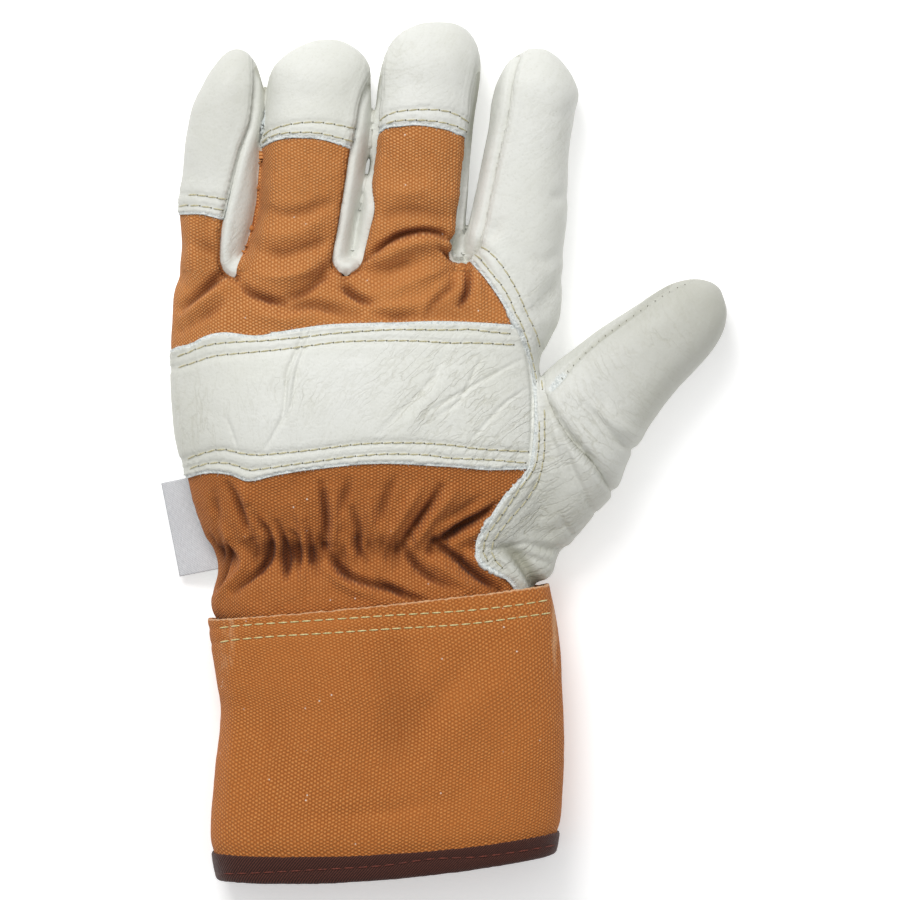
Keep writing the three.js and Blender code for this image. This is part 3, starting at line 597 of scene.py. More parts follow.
def fold_heights(flat, folds, deepen=1.0, narrow=1.0):
    """The height that folds add at points seen from above. Each one fades towards its ends."""
    height = np.zeros(len(flat))
    for depth, half_width, points in folds:
        line = smooth_rows(points, 3)
        half_width *= narrow if depth < 0 else 1.0
        away, share = line_distance(flat, line, 3 * half_width)
        taper = np.sin(np.pi * np.clip(share, 0.04, 0.96)) ** 0.45
        height += depth * deepen * taper * np.exp(-((away / half_width) ** 2))
    return height


def store_way(bm):
    """Keeps each vertex's outward direction, evened out, so that neighbouring panels are moved alike."""
    bm.verts.index_update()
    ends = np.array([(e.verts[0].index, e.verts[1].index) for e in bm.edges])
    way = outward(bm)
    for _ in range(WAY_SMOOTHINGS):
        total = np.stack([
            np.bincount(ends[:, 0], way[ends[:, 1], axis], len(way))
            + np.bincount(ends[:, 1], way[ends[:, 0], axis], len(way))
            for axis in range(3)
        ], axis=1)
        way = way + total
        way /= np.linalg.norm(way, axis=1)[:, None]
    layer = bm.verts.layers.float_vector.new("way")
    for v, direction in zip(bm.verts, way):
        v[layer] = direction


def stored_ways(bm):
    layer = bm.verts.layers.float_vector["way"]
    ways = np.array([v[layer][:] for v in bm.verts])
    return ways / np.linalg.norm(ways, axis=1)[:, None]


def relief(points):
    """How far folds, creases and sewn grooves raise or sink the surface."""
    flat = points[:, :2]
    top = ease(points[:, 2], SIDE_SEAM, SIDE_SEAM + 7)
    leather = np.max([area_field(name, points) for name in LEATHER_PANELS], axis=0)
    canvas = ease(-leather, -0.8, 1.6)
    height = fold_heights(flat, CANVAS_FOLDS, deepen=1.45, narrow=0.85) * canvas
    # The elastic draws the canvas in along a line, with small gathers on both sides of it
    away, _ = line_distance(flat, smooth_rows(ELASTIC, 3), 16)
    gathers = 1.7 * np.exp(-((away / 6.5) ** 2)) * rough(points * (1.0, 0.42, 0.6), 3.6, 4, 2)
    drawn_in = 1.2 * np.exp(-((away / 3.0) ** 2))
    height += canvas * (gathers - drawn_in)
    height += canvas * 0.42 * rough(points, 8, 5, 3)
    height += (1 - canvas) * 0.1 * rough(points, 6, 6, 3)
    height *= top
    # Creases of the leather run on down the sides, so that they also notch the outline
    height += fold_heights(flat, LEATHER_FOLDS) * (1 - canvas) * ease(points[:, 2], 1, 7)
    # Turned seams of the forks, and the sewn rows, pull the surface in
    for name in ("little", "ring", "middle_left", "middle_right", "index"):
        away, _ = line_distance(flat, SEAM_LINES[name], 8)
        groove, swell = 1.35 * np.exp(-((away / 0.65) ** 2)), 0.3 * np.exp(-(((away - 2.2) / 1.3) ** 2))
        height -= top * (groove - swell)
    for name, rows in STITCH_ROWS.items():
        # The thumb's seam is on its side, so the groove slides down as it sinks, and starts above the seam
        depth, half_width, shift = (1.1, 0.42, (-0.6, 0.75)) if name == "thumb" else (0.45, 0.85, (0, 0))
        for row in rows:
            away, _ = line_distance(flat, smooth_rows(row, 3) + shift, 4)
            height -= top * depth * np.exp(-((away / half_width) ** 2))
    return height


def rest_on_surface(points, softness=0.25):
    """Presses flat what would be below the surface that the glove lies on."""
    points[:, 2] = 0.5 * (points[:, 2] + np.sqrt(points[:, 2] ** 2 + 4 * softness**2))


def refine(bm, faces):
    """Halves the mesh's step on these faces and smooths out the corners between them."""
    edges = list({edge for face in faces for edge in face.edges})
    bmesh.ops.subdivide_edges(bm, edges=edges, cuts=1, use_grid_fill=True)
    smooth(bm, [v for v in bm.verts if not v.is_boundary])


# Cutting out the panels

def cut(bm, values):
    """Cuts the faces along the line where the values, one for each vertex, are zero."""
    snap = 0.16
    bm.verts.index_update()
    values = np.where(np.abs(values) < 2e-3, 0.0, values)
    best = {}
    for edge in bm.edges:
        a, b = edge.verts
        va, vb = values[a.index], values[b.index]
        if va * vb < 0:
            share = va / (va - vb)
            for vert, other, near in ((a, b, share), (b, a, 1 - share)):
                if near < snap and near < best.get(vert, (1.0, None))[0]:
                    best[vert] = (near, other.co.copy())
    start = {vert: vert.co.copy() for vert in best}
    for vert, (near, other) in best.items():
        vert.co = start[vert].lerp(other, near)
        values[vert.index] = 0.0
    on_line = [v for v in bm.verts if values[v.index] == 0.0]
    crossing = []
    for edge in bm.edges:
        a, b = edge.verts
        va, vb = values[a.index], values[b.index]
        if va * vb < 0:
            crossing.append((edge, a, va / (va - vb)))
    for edge, vert, share in crossing:
        on_line.append(bmesh.utils.edge_split(edge, vert, share)[1])
    if on_line:
        bmesh.ops.connect_verts(bm, verts=on_line)


def cut_panels(bm):
    """Cuts the form along its seams and edges, and returns a mesh for each panel."""
    for name in CUT_ORDER:
        cut(bm, area_field(name, places(bm)))
    centres = np.array([f.calc_center_median()[:] for f in bm.faces])
    owner = np.where(centres[:, 1] < 15, "wrist_canvas", "back_canvas").astype(object)
    for name in reversed(CUT_ORDER[2:]):
        owner[area_field(name, centres) > 0] = name
    owner[centres[:, 2] < SIDE_SEAM] = "palm"
    owner[area_field("thumb", centres) > 0] = "thumb"
    join_islands(bm, owner)
    panels = {}
    for name in sorted(set(owner)):
        panel = bm.copy()
        panel.faces.ensure_lookup_table()
        others = [face for face, who in zip(panel.faces, owner) if who != name]
        bmesh.ops.delete(panel, geom=others, context="FACES")
        panels[name] = panel
    return panels


def join_islands(bm, owner):
    """Gives a few faces that are cut off from their panel to the panel round them."""
    small = 60
    bm.faces.index_update()
    bm.faces.ensure_lookup_table()
    seen = np.zeros(len(bm.faces), bool)
    for first in bm.faces:
        if seen[first.index]:
            continue
        who = owner[first.index]
        seen[first.index] = True
        island, edge_of = [first], {}
        for face in island:
            for edge in face.edges:
                for other in edge.link_faces:
                    if owner[other.index] == who:
                        if not seen[other.index]:
                            seen[other.index] = True
                            island.append(other)
                    else:
                        edge_of[owner[other.index]] = edge_of.get(owner[other.index], 0) + 1
        if len(island) < small and edge_of:
            heir = max(sorted(edge_of), key=edge_of.get)
            for face in island:
                owner[face.index] = heir


# Materials

def linear(hex_colour):
    """An sRGB hex colour as linear red, green, blue and alpha."""
    parts = [int(hex_colour[i : i + 2], 16) / 255 for i in (1, 3, 5)]
    return [c / 12.92 if c <= 0.04045 else ((c + 0.055) / 1.055) ** 2.4 for c in parts] + [1.0]


def add(tree, kind, inputs=None, out=0, stops=(), **settings):
    """Adds a shader node with its settings and links, and returns one of its sockets. An input is a value
    or another node's socket. A colour ramp's stops are positions, each with a grey or an sRGB hex colour."""
    made = tree.nodes.new("ShaderNode" + kind)
    for name, value in settings.items():
        setattr(made, name, value)
    for key, value in (inputs or {}).items():
        if isinstance(value, bpy.types.NodeSocket):
            tree.links.new(value, made.inputs[key])
        else:
            made.inputs[key].default_value = value
    if stops:
        elements = made.color_ramp.elements
        for _ in stops[2:]:
            elements.new(0.5)
        for element, (position, value) in zip(elements, stops):
            element.position = position
            element.color = linear(value) if isinstance(value, str) else (value, value, value, 1)
    return made.outputs[out] if made.outputs else made


def surface(name):
    """A new material and its empty tree."""
    material = bpy.data.materials.new(name)
    material.use_nodes = True
    material.node_tree.nodes.clear()
    return material, material.node_tree


def finish(tree, height, depth, inputs):
    """Ends a material: its pattern as relief of this depth in millimetres, and its shader."""
    relief_way = add(tree, "Bump", {"Height": height, "Distance": depth * MM, "Strength": 1.0})
    shader = add(tree, "BsdfPrincipled", {**inputs, "Normal": relief_way})
    add(tree, "OutputMaterial", {"Surface": shader})


def grain_leather(name, light, shade, creased, pitch=1.3):
    """Full-grain cowhide, chrome-tanned and drum-dyed off-white: a pebble of pores, fine creases that lie
    across the pull and are deepest where the hand bends it, a dull waxy gloss, and raw bluish-white edges."""
    material, tree = surface(name)
    where = add(tree, "TexCoord", out="Object")
    lie = add(tree, "UVMap", uv_map="grain")
    worked, grey_and_shade, hollow_shade, raw = (
        add(tree, "Attribute", out="Fac", attribute_name=value, attribute_type="GEOMETRY")
        for value in ("worked", "grey_and_shade", "hollow_shade", "raw")
    )
    # Pores 1 mm apart, with finer ones among them
    pores = add(tree, "TexVoronoi", {"Vector": where, "Scale": 1000.0, "Smoothness": 0.5}, "Distance",
                feature="SMOOTH_F1")
    fine = add(tree, "TexNoise", {"Vector": where, "Scale": 900.0, "Detail": 4.0, "Roughness": 0.62})
    # Creases are level lines of a noise that is drawn out along them. The grain map is in millimetres
    drawn = add(tree, "Mapping", {"Vector": lie, "Scale": (0.5 / pitch, 0.11 / pitch, 1.0)})
    sway = add(tree, "TexNoise", {"Vector": lie, "Scale": 0.16, "Detail": 2.0}, "Color")
    bent = add(tree, "Mix", {0: 0.9, 6: drawn, 7: sway}, 2, data_type="RGBA", blend_type="ADD")
    long_noise = add(tree, "TexNoise", {"Vector": bent, "Scale": 1.0, "Detail": 2.0, "Roughness": 0.5})
    off_level = add(tree, "Math", {0: long_noise, 1: 0.5}, operation="SUBTRACT")
    off_level = add(tree, "Math", {0: off_level}, operation="ABSOLUTE")
    long_lines = add(tree, "ValToRGB", {"Fac": off_level}, stops=[(0.0, 0.0), (0.05, 1.0)])
    net_noise = add(tree, "TexNoise", {"Vector": where, "Scale": 430.0, "Detail": 3.0, "Distortion": 0.5})
    off_net = add(tree, "Math", {0: net_noise, 1: 0.5}, operation="SUBTRACT")
    off_net = add(tree, "Math", {0: off_net}, operation="ABSOLUTE")
    net_lines = add(tree, "ValToRGB", {"Fac": off_net}, stops=[(0.0, 0.0), (0.07, 1.0)])
    lines = add(tree, "Mix", {0: 0.3, 2: long_lines, 3: net_lines})
    reach = add(tree, "TexNoise", {"Vector": where, "Scale": 70.0, "Detail": 2.0})
    uneven = add(tree, "ValToRGB", {"Fac": reach}, stops=[(0.3, 0.35), (0.62, 1.0)])
    strength = add(tree, "Math", {0: worked, 1: uneven}, operation="MULTIPLY")
    strength = add(tree, "Math", {0: strength, 1: creased}, operation="MULTIPLY", use_clamp=True)
    sunk = add(tree, "Mix", {0: strength, 2: 1.0, 3: lines})
    grain = add(tree, "Mix", {0: 0.42, 2: fine, 3: pores})
    height = add(tree, "Math", {0: grain, 1: 0.5, 2: sunk}, operation="MULTIPLY_ADD")
    # Broad patches of warmer dye. Below them the pores, the crease lines and the hollows are darkened with
    # painted shade
    patches = add(tree, "TexNoise", {"Vector": where, "Scale": 26.0, "Detail": 4.0, "Roughness": 0.6})
    patchy = add(tree, "ValToRGB", {"Fac": patches}, stops=[(0.35, 0.0), (0.68, 1.0)])
    colour = add(tree, "Mix", {0: patchy, 6: linear(light), 7: linear(shade)}, 2, data_type="RGBA")
    # Painted greyer where the attribute says: partly a greyer hide, partly painted shade
    greyer = (0.72, 0.715, 0.68, 1.0)
    colour = add(tree, "Mix", {0: grey_and_shade, 6: colour, 7: greyer}, 2, data_type="RGBA", blend_type="MULTIPLY")
    # Painted shade in the pores: the low spots of the grain are darker
    pore_shade = add(tree, "ValToRGB", {"Fac": grain}, stops=[(0.26, 0.18), (0.46, 0.0)])
    # Painted shade along the crease lines, strongest where the leather is worked most
    depth = add(tree, "Math", {0: 1.0, 1: sunk}, operation="SUBTRACT")
    depth = add(tree, "Math", {0: depth, 1: 0.7}, operation="MULTIPLY")
    # Painted shade in the hollows
    painted_shade = add(tree, "ValToRGB", {"Fac": hollow_shade}, stops=[(0.1, 0.0), (1.0, 0.6)])
    # Loose nap where the hide is cut
    nap = add(tree, "TexNoise", {"Vector": where, "Scale": 1500.0, "Detail": 3.0})
    torn = add(tree, "Math", {0: nap, 1: 0.6, 2: raw}, operation="MULTIPLY_ADD")
    frayed = add(tree, "ValToRGB", {"Fac": torn}, stops=[(0.7, 0.0), (0.95, 1.0)])
    pale = add(tree, "ValToRGB", {"Fac": nap}, stops=[(0.35, "#C8CECC"), (0.6, "#E6E9E6")])
    for share, over in (
        (pore_shade, linear("#B4B3A2")), (depth, linear("#A9A793")), (painted_shade, linear("#96957F")), (frayed, pale),
    ):
        colour = add(tree, "Mix", {0: share, 6: colour, 7: over}, 2, data_type="RGBA")
    nap_height = add(tree, "Math", {0: nap, 1: 2.0}, operation="MULTIPLY")
    height = add(tree, "Mix", {0: frayed, 2: height, 3: nap_height})
    gloss = add(tree, "ValToRGB", {"Fac": fine}, stops=[(0.3, 0.46), (0.7, 0.62)])
    finish(tree, height, 0.24, {
        "Base Color": colour, "Roughness": gloss, "IOR": 1.5, "Specular IOR Level": 0.4,
    })
    return material


def suede_edge():
    """The cut edge and flesh side of the hide: bluish-white loose nap, quite matt."""
    material, tree = surface("leather_suede_edge")
    where = add(tree, "TexCoord", out="Object")
    nap = add(tree, "TexNoise", {"Vector": where, "Scale": 1600.0, "Detail": 4.0, "Roughness": 0.7})
    colour = add(tree, "ValToRGB", {"Fac": nap}, stops=[
        (0.3, "#B0B9B9"), (0.5, "#CFD5D4"), (0.72, "#E8ECEA"),
    ])
    finish(tree, nap, 0.5, {"Base Color": colour, "Roughness": 0.95})
    return material


def duck_canvas(name, scale, dyes_and_shade, weave_depth, dust):
    """Cotton duck, plain woven and dyed tan: fat round threads that show as a lattice of pale bumps with
    dark pits between them, uneven dye, painted shade that darkens it in the folds, and specks of white lint."""
    material, tree = surface(name)
    light, middle, dark, hollow_shade_colour = dyes_and_shade
    weave = add(tree, "UVMap", uv_map="weave")
    where = add(tree, "TexCoord", out="Object")
    drift = add(tree, "TexNoise", {"Vector": weave, "Scale": 0.16, "Detail": 2.0}, "Color")
    wobble = add(tree, "TexNoise", {"Vector": weave, "Scale": 0.55, "Detail": 1.0}, "Color")
    led = add(tree, "Mix", {0: 1.1, 6: weave, 7: drift}, 2, data_type="RGBA", blend_type="ADD",
              clamp_factor=False)
    led = add(tree, "Mix", {0: 0.4, 6: led, 7: wobble}, 2, data_type="RGBA", blend_type="ADD")
    parts = add(tree, "SeparateXYZ", {"Vector": led}).node.outputs
    # The weave map is in millimetres. Warp threads 1 mm apart run along the hand, and the thinner weft is
    # 0.53 mm apart, so each warp thread shows as a column of bumps, half a step from those beside it
    column = add(tree, "Math", {0: parts["X"], 1: math.pi / scale}, operation="MULTIPLY")
    across = add(tree, "Math", {0: column}, operation="SINE")
    row = add(tree, "Math", {0: parts["Y"], 1: math.pi / (0.53 * scale)}, operation="MULTIPLY")
    along = add(tree, "Math", {0: row}, operation="SINE")
    arch = add(tree, "Math", {0: across}, operation="ABSOLUTE")
    bumps = add(tree, "Math", {0: across, 1: along, 2: arch}, operation="MULTIPLY_ADD")
    threads = add(tree, "MapRange", {"Value": bumps, "From Min": -0.2, "From Max": 1.9})
    # Slubs: threads are thicker and thinner, and paler and deeper, along their length
    slubs = add(tree, "Mapping", {"Vector": led, "Scale": (1.0, 0.3, 1.0)})
    slub = add(tree, "TexNoise", {"Vector": slubs, "Scale": 0.95, "Detail": 3.0, "Roughness": 0.6})
    body = add(tree, "MapRange", {
        "Value": slub, "From Min": 0.25, "From Max": 0.75, "To Min": 0.62, "To Max": 1.3,
    })
    height = add(tree, "Math", {0: threads, 1: body}, operation="MULTIPLY")
    colour = add(tree, "ValToRGB", {"Fac": height}, stops=[(0.08, dark), (0.42, middle), (0.95, light)])
    patches = add(tree, "TexNoise", {"Vector": where, "Scale": 32.0, "Detail": 4.0, "Roughness": 0.6})
    patchy = add(tree, "ValToRGB", {"Fac": patches}, stops=[(0.35, 0.0), (0.7, 0.4)])
    fuzz = add(tree, "TexNoise", {"Vector": where, "Scale": 2600.0, "Detail": 3.0})
    fuzzy = add(tree, "ValToRGB", {"Fac": fuzz}, stops=[(0.35, 0.25), (0.6, 0.0)])
    lint = add(tree, "TexVoronoi", {"Vector": where, "Scale": 260.0}).node.outputs
    speck = add(tree, "ValToRGB", {"Fac": lint["Distance"]}, stops=[(0.05, 1.0), (0.09, 0.0)])
    chance = add(tree, "SeparateColor", {"Color": lint["Color"]})
    picked = add(tree, "ValToRGB", {"Fac": chance}, stops=[(0.78, 0.0), (0.84, 0.75)])
    fleck = add(tree, "Math", {0: speck, 1: picked}, operation="MULTIPLY")
    hollow_shade, worn = (
        add(tree, "Attribute", out="Fac", attribute_name=value, attribute_type="GEOMETRY")
        for value in ("hollow_shade", "raw")
    )
    # Painted shade: the canvas darkens the further its folds sink
    painted_shade = add(tree, "ValToRGB", {"Fac": hollow_shade}, stops=[(0.06, 0.0), (1.0, 0.86)])
    rubbed = add(tree, "Math", {0: slub, 1: 0.5, 2: worn}, operation="MULTIPLY_ADD")
    dusty = add(tree, "ValToRGB", {"Fac": rubbed}, stops=[(0.5, 0.0), (1.2, 0.85)])
    for share, over in (
        (patchy, middle), (fuzzy, dark), (fleck, "#F2E4D6"), (painted_shade, hollow_shade_colour), (dusty, dust),
    ):
        colour = add(tree, "Mix", {0: share, 6: colour, 7: linear(over)}, 2, data_type="RGBA")
    finish(tree, height, weave_depth, {
        "Base Color": colour, "Roughness": 0.92, "IOR": 1.47, "Specular IOR Level": 0.15,
        "Sheen Weight": 0.06, "Sheen Roughness": 0.6,
    })
    return material


def twill_tape():
    """Woven cotton tape dyed dark brown: fine slanting ribs, with a faint reddish bloom on their tops."""
    material, tree = surface("twill_tape_dark_brown")
    weave = add(tree, "UVMap", uv_map="weave")
    parts = add(tree, "SeparateXYZ", {"Vector": weave}).node.outputs
    # Ribs 0.9 mm apart, at 45 degrees
    slant = add(tree, "Math", {0: parts["X"], 1: parts["Y"]}, operation="ADD")
    turns = add(tree, "Math", {0: slant, 1: 2 * math.pi / 0.9}, operation="MULTIPLY")
    rib = add(tree, "Math", {0: turns}, operation="SINE")
    lint = add(tree, "TexNoise", {"Vector": weave, "Scale": 2.2, "Detail": 4.0, "Roughness": 0.7})
    height = add(tree, "Math", {0: rib, 1: 0.3, 2: lint}, operation="MULTIPLY_ADD")
    colour = add(tree, "ValToRGB", {"Fac": height}, stops=[
        (0.2, "#27130F"), (0.55, "#43241D"), (0.9, "#64392D"),
    ])
    finish(tree, height, 0.18, {
        "Base Color": colour, "Roughness": 0.88, "Specular IOR Level": 0.25, "Sheen Weight": 0.15,
    })
    return material


def woven_satin():
    """Polyester satin ribbon, silver-grey: long floats that give it a soft streaked gloss."""
    material, tree = surface("woven_satin_silver")
    weave = add(tree, "UVMap", uv_map="weave")
    drawn = add(tree, "Mapping", {"Vector": weave, "Scale": (3.2, 0.35, 1.0)})
    floats = add(tree, "TexNoise", {"Vector": drawn, "Scale": 1.6, "Detail": 4.0})
    lines = add(tree, "TexWave", {"Vector": weave, "Scale": 0.75, "Distortion": 0.4}, "Fac",
                bands_direction="DIAGONAL")
    height = add(tree, "Math", {0: lines, 1: 0.25, 2: floats}, operation="MULTIPLY_ADD")
    colour = add(tree, "ValToRGB", {"Fac": height}, stops=[
        (0.3, "#B7B8BB"), (0.6, "#CDCED1"), (0.95, "#E0E1E3"),
    ])
    finish(tree, height, 0.08, {
        "Base Color": colour, "Roughness": 0.42, "Anisotropic": 0.5, "Sheen Weight": 0.1,
    })
    return material


def sewing_thread(name, light, dark):
    """Spun polyester sewing thread: two twisted plies that show as short slanting bands."""
    material, tree = surface(name)
    where = add(tree, "TexCoord", out="Object")
    ply = add(tree, "TexNoise", {"Vector": where, "Scale": 1900.0, "Detail": 2.0})
    colour = add(tree, "ValToRGB", {"Fac": ply}, stops=[(0.35, dark), (0.65, light)])
    finish(tree, ply, 0.1, {"Base Color": colour, "Roughness": 0.7})
    return material


def studio_paper():
    """Seamless white paper with a faint even tooth. It glows a little, painted light that keeps the glove's
    shadow on it pale.
    """
    material, tree = surface("seamless_paper_white")
    where = add(tree, "TexCoord", out="Object")
    tooth = add(tree, "TexNoise", {"Vector": where, "Scale": 900.0, "Detail": 3.0})
    colour = add(tree, "ValToRGB", {"Fac": tooth}, stops=[(0.3, "#F8F8F8"), (0.7, "#FBFBFB")])
    # The emission is painted light that lifts the shadows on the paper
    finish(tree, tooth, 0.02, {
        "Base Color": colour, "Roughness": 0.9, "Emission Color": (1, 1, 1, 1), "Emission Strength": 0.3,
    })
    return material


LEATHER = grain_leather("cowhide_grain_off_white", "#E1E2DD", "#DADBD3", 0.9)
STRAP_LEATHER = grain_leather("cowhide_grain_strap", "#E1E2DC", "#DADBD2", 1.0)
SUEDE = suede_edge()
# Light, middle and dark dye of each piece of canvas, and the painted shade of its folds
TAN = ("#E2A870", "#CD874A", "#A16030", "#5C280B")
# The wrist's canvas is a darker copy of the same tan: painted shade for the wrist, which lies low among its
# gathers between strap and cuff
WRIST_SHADED_TAN = ("#D8965A", "#BC7137", "#8D4E22", "#4C1F07")
CUFF_TAN = ("#DB9756", "#C4773A", "#9B5726", "#5C2A0B")
CANVAS = duck_canvas("cotton_duck_tan", 1.0, TAN, 0.3, "#D9A873")
SHADED_WRIST_CANVAS = duck_canvas("cotton_duck_wrist_shaded", 1.0, WRIST_SHADED_TAN, 0.32, "#D9A873")
CUFF_CANVAS = duck_canvas("cotton_duck_cuff", 1.05, CUFF_TAN, 0.27, "#E0B389")
TAPE = twill_tape()
SATIN = woven_satin()
PAPER = studio_paper()
BEIGE_THREAD = sewing_thread("thread_olive_beige", "#D2CBAA", "#ADA680")
ECRU_THREAD = sewing_thread("thread_ecru", "#E6DCA8", "#BFAE70")
RED_BROWN_THREAD = sewing_thread("thread_red_brown", "#7E3A2A", "#4A1F16")
# The needle holes' dots are painted shadow: dark marks where there is only the holes' shade
HOLE = sewing_thread("needle_hole_shadow", "#77735C", "#4F4C3B")
FIBRE = sewing_thread("loose_hide_fibre", "#F1F4F2", "#D8DFDF")
LINT = sewing_thread("loose_cotton_fibre", "#F3DCC4", "#DDB289")


# Finishing a piece

CANVAS_WALL, HIDE_WALL, CUFF_WALL, RIBBON_WALL = 1.6, 1.3, 1.4, 0.3


def piece(name, bm, nodes, materials, wall=0.0, rim=0):
    """Puts a mesh in the scene in metres, in place of its CAD nodes."""
    bmesh.ops.scale(bm, vec=(MM, MM, MM), verts=bm.verts)
    for face in bm.faces:
        face.smooth = True
    mesh = to_mesh(bm, name)
    for material in materials:
        mesh.materials.append(material)
    made = in_scene(name, mesh)
    if wall:
        thick = made.modifiers.new("thickness", "SOLIDIFY")
        thick.thickness = wall * MM
        thick.offset = -1
        thick.material_offset_rim = rim
        thick.material_offset = rim
    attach(made, "root")
    if nodes:
        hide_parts(*nodes)
    return made


def set_values(bm, name, values):
    layer = bm.verts.layers.float.new(name)
    for v, value in zip(bm.verts, values):
        v[layer] = value


def set_map(bm, name, across, along):
    """A map in millimetres: across and along the threads, or the creases."""
    layer = bm.loops.layers.uv.new(name)
    bm.verts.index_update()
    for face in bm.faces:
        for loop in face.loops:
            loop[layer].uv = (across[loop.vert.index], along[loop.vert.index])


def weave_across(points):
    """Length round the section from its middle, for a weave that follows the canvas down the sides."""
    y = points[:, 1]
    rows = np.array(HAND)
    left, right, top = (np.interp(y, rows[:, 0], rows[:, i]) for i in (1, 2, 3))
    for _, height, finger_rows in FINGERS.values():
        table = np.array(finger_rows)
        x0, x1 = (np.interp(y, table[:, 0], table[:, i]) for i in (1, 2))
        on = (y > 57) & (points[:, 0] > x0 - 3) & (points[:, 0] < x1 + 3)
        left, right, top = np.where(on, x0, left), np.where(on, x1, right), np.where(on, height, top)
    half, widest = (right - left) / 2, top * WIDEST
    middle = (left + right) / 2
    out = np.clip(np.abs(points[:, 0] - middle) / half, 0, 1.2)
    down = np.clip((top - points[:, 2]) / (top - widest), 0, 2)
    side = ease(out, 0.72, 1.0)
    return middle + np.sign(points[:, 0] - middle) * (out * half + side * down * (top - widest) * 0.75)


# Cut edges that stand proud: panels they lift, seams they follow, the lift, its reach, the nap's width
WHOLE_PANEL = 99
WING_START = (7, 60)
RAW_EDGES = [
    (("knuckle_strap",), ("strap_top", "strap_bottom"), 1.0, WHOLE_PANEL, 0.55),
    *((("cap_" + finger,), ("cap_" + finger,), 1.0, 14, 0.6) for finger in CAPPED),
    (("palm", "thumb", "fork_middle_index"), ("wing",), 1.9, 13, 0.8),
]

# The thumb and thenar are painted greyer, partly a greyer hide and partly painted shade where they turn from
# the light, most at the thumb's tip: x, y along its middle, and how much greyer it is
THUMB_GREY_AND_SHADE = [(20, -36, 0.6), (36, -18, 0.6), (50, 8, 0.3), (68, 30, 0.7), (82, 45, 1.0)]
# A few panels are painted a little greyer all over
GREYER_PANELS = {"cap_little": 0.4, "cap_ring": 0.08, "cap_middle": 0.18, "fork_little_ring": 0.2}

# Where the nap shows at the end of the thumb's turned seam
OPEN_SEAM = [(32.6, 19), (34.8, 20.8), (37, 23.2), (39, 25.6)]

# Where the hand has creased the leather: x, y, how far it reaches, how strongly
CREASED = [
    (6, 20, 20, 0.55), (-12, 14, 16, 0.3), (-78, 14, 12, 0.35), (-44, 18, 10, 0.3), (22, 4, 12, 0.35),
    (42, 6, 15, 0.6), (56, 24, 12, 0.3), (30, -22, 20, 0.75), (24, -36, 12, 0.6), (38, 102, 9, 0.25),
    (30, 52, 10, 0.25), (-62, 62, 8, 0.4), (-29, 60, 8, 0.4), (-10, 118, 10, 0.2), (70, 40, 10, 0.3),
]


def grain_map(name, points):
    """Across and along the creases that the leather has at these points."""
    x, y, z = points.T
    if name == "knuckle_strap":
        # Upright at the little finger's side, and slanting to the upper right beyond the middle
        slant = 0.8 * ease(x, -62, -20)
        return 0.85 * x - slant * (y - 15) + 0.5 * z, y + 0.5 * x
    if name == "thumb":
        return 0.8 * x + 0.6 * y + 0.4 * z, 0.6 * x - 0.8 * y + 0.4 * z
    return 0.83 * y - 0.55 * x + 0.5 * z, 0.83 * x + 0.55 * y + 0.3 * z


def grey_and_shade_at(name, flat):
    """How much greyer a panel is painted at these points: partly greyer hide and partly painted shade on the
    thumb, painted shade on the strap's left end, and a little greyer all over on a few panels.
    """
    line = smooth_rows(THUMB_GREY_AND_SHADE, 3)
    away, share = line_distance(flat, line[:, :2])
    near_thumb = np.interp(share, np.linspace(0, 1, len(line)), line[:, 2]) * (1 - ease(away, 12, 30))
    # Painted shade on the strap's left end, which curves away from the light
    if name == "knuckle_strap":
        return 0.45 * (1 - ease(flat[:, 0], -84, -50))
    return near_thumb + GREYER_PANELS.get(name, 0)


def raise_cut_edges(name, bm, flat, points, normals):
    """Lifts the panels that lap over others, and frays and marks their cut edges."""
    for lifted, edges, lift, reach, nap in RAW_EDGES:
        if name not in lifted:
            continue
        away = np.min([line_distance(flat, SEAM_LINES[edge], 30)[0] for edge in edges], axis=0)
        on_top = ease(points[:, 2], SIDE_SEAM - 1, SIDE_SEAM + 6)
        share = on_top if reach == WHOLE_PANEL else on_top * (1 - ease(away, 3, reach))
        if "palm" in lifted:
            # The wing lies down where it leaves the bottom of the gap between two fingers
            share = share * (0.35 + 0.65 * ease(np.hypot(*(flat - WING_START).T), 1.5, 11))
        edge_only = np.exp(-((away / 0.7) ** 2)) if name == lifted[0] else 0 * away
        fray = rough(points, 2.2, 8, 3)
        flare = 0.25 * np.exp(-(((away - 1.2) / 1.2) ** 2)) * (1 + fray) * (name == lifted[0])
        upwards = (0.3, 0.3, 1.0) if "palm" in lifted else (1.0, 1.0, 1.0)
        points += normals * upwards * (lift * share + (flare - 0.55 * edge_only) * on_top)[:, None]
        if name == lifted[0]:
            set_values(bm, "raw", np.exp(-((away / (nap * (1 + 0.3 * fray))) ** 2)) * on_top)


# What is hidden inside the cuff, and the lower sides of the palm, keep the coarser mesh
INSIDE_CUFF = -57
LOWER_SIDES = SIDE_SEAM + 4.5


def shows(name, face):
    centre = face.calc_center_median()
    return centre.y > INSIDE_CUFF and (name != "palm" or centre.z > LOWER_SIDES)


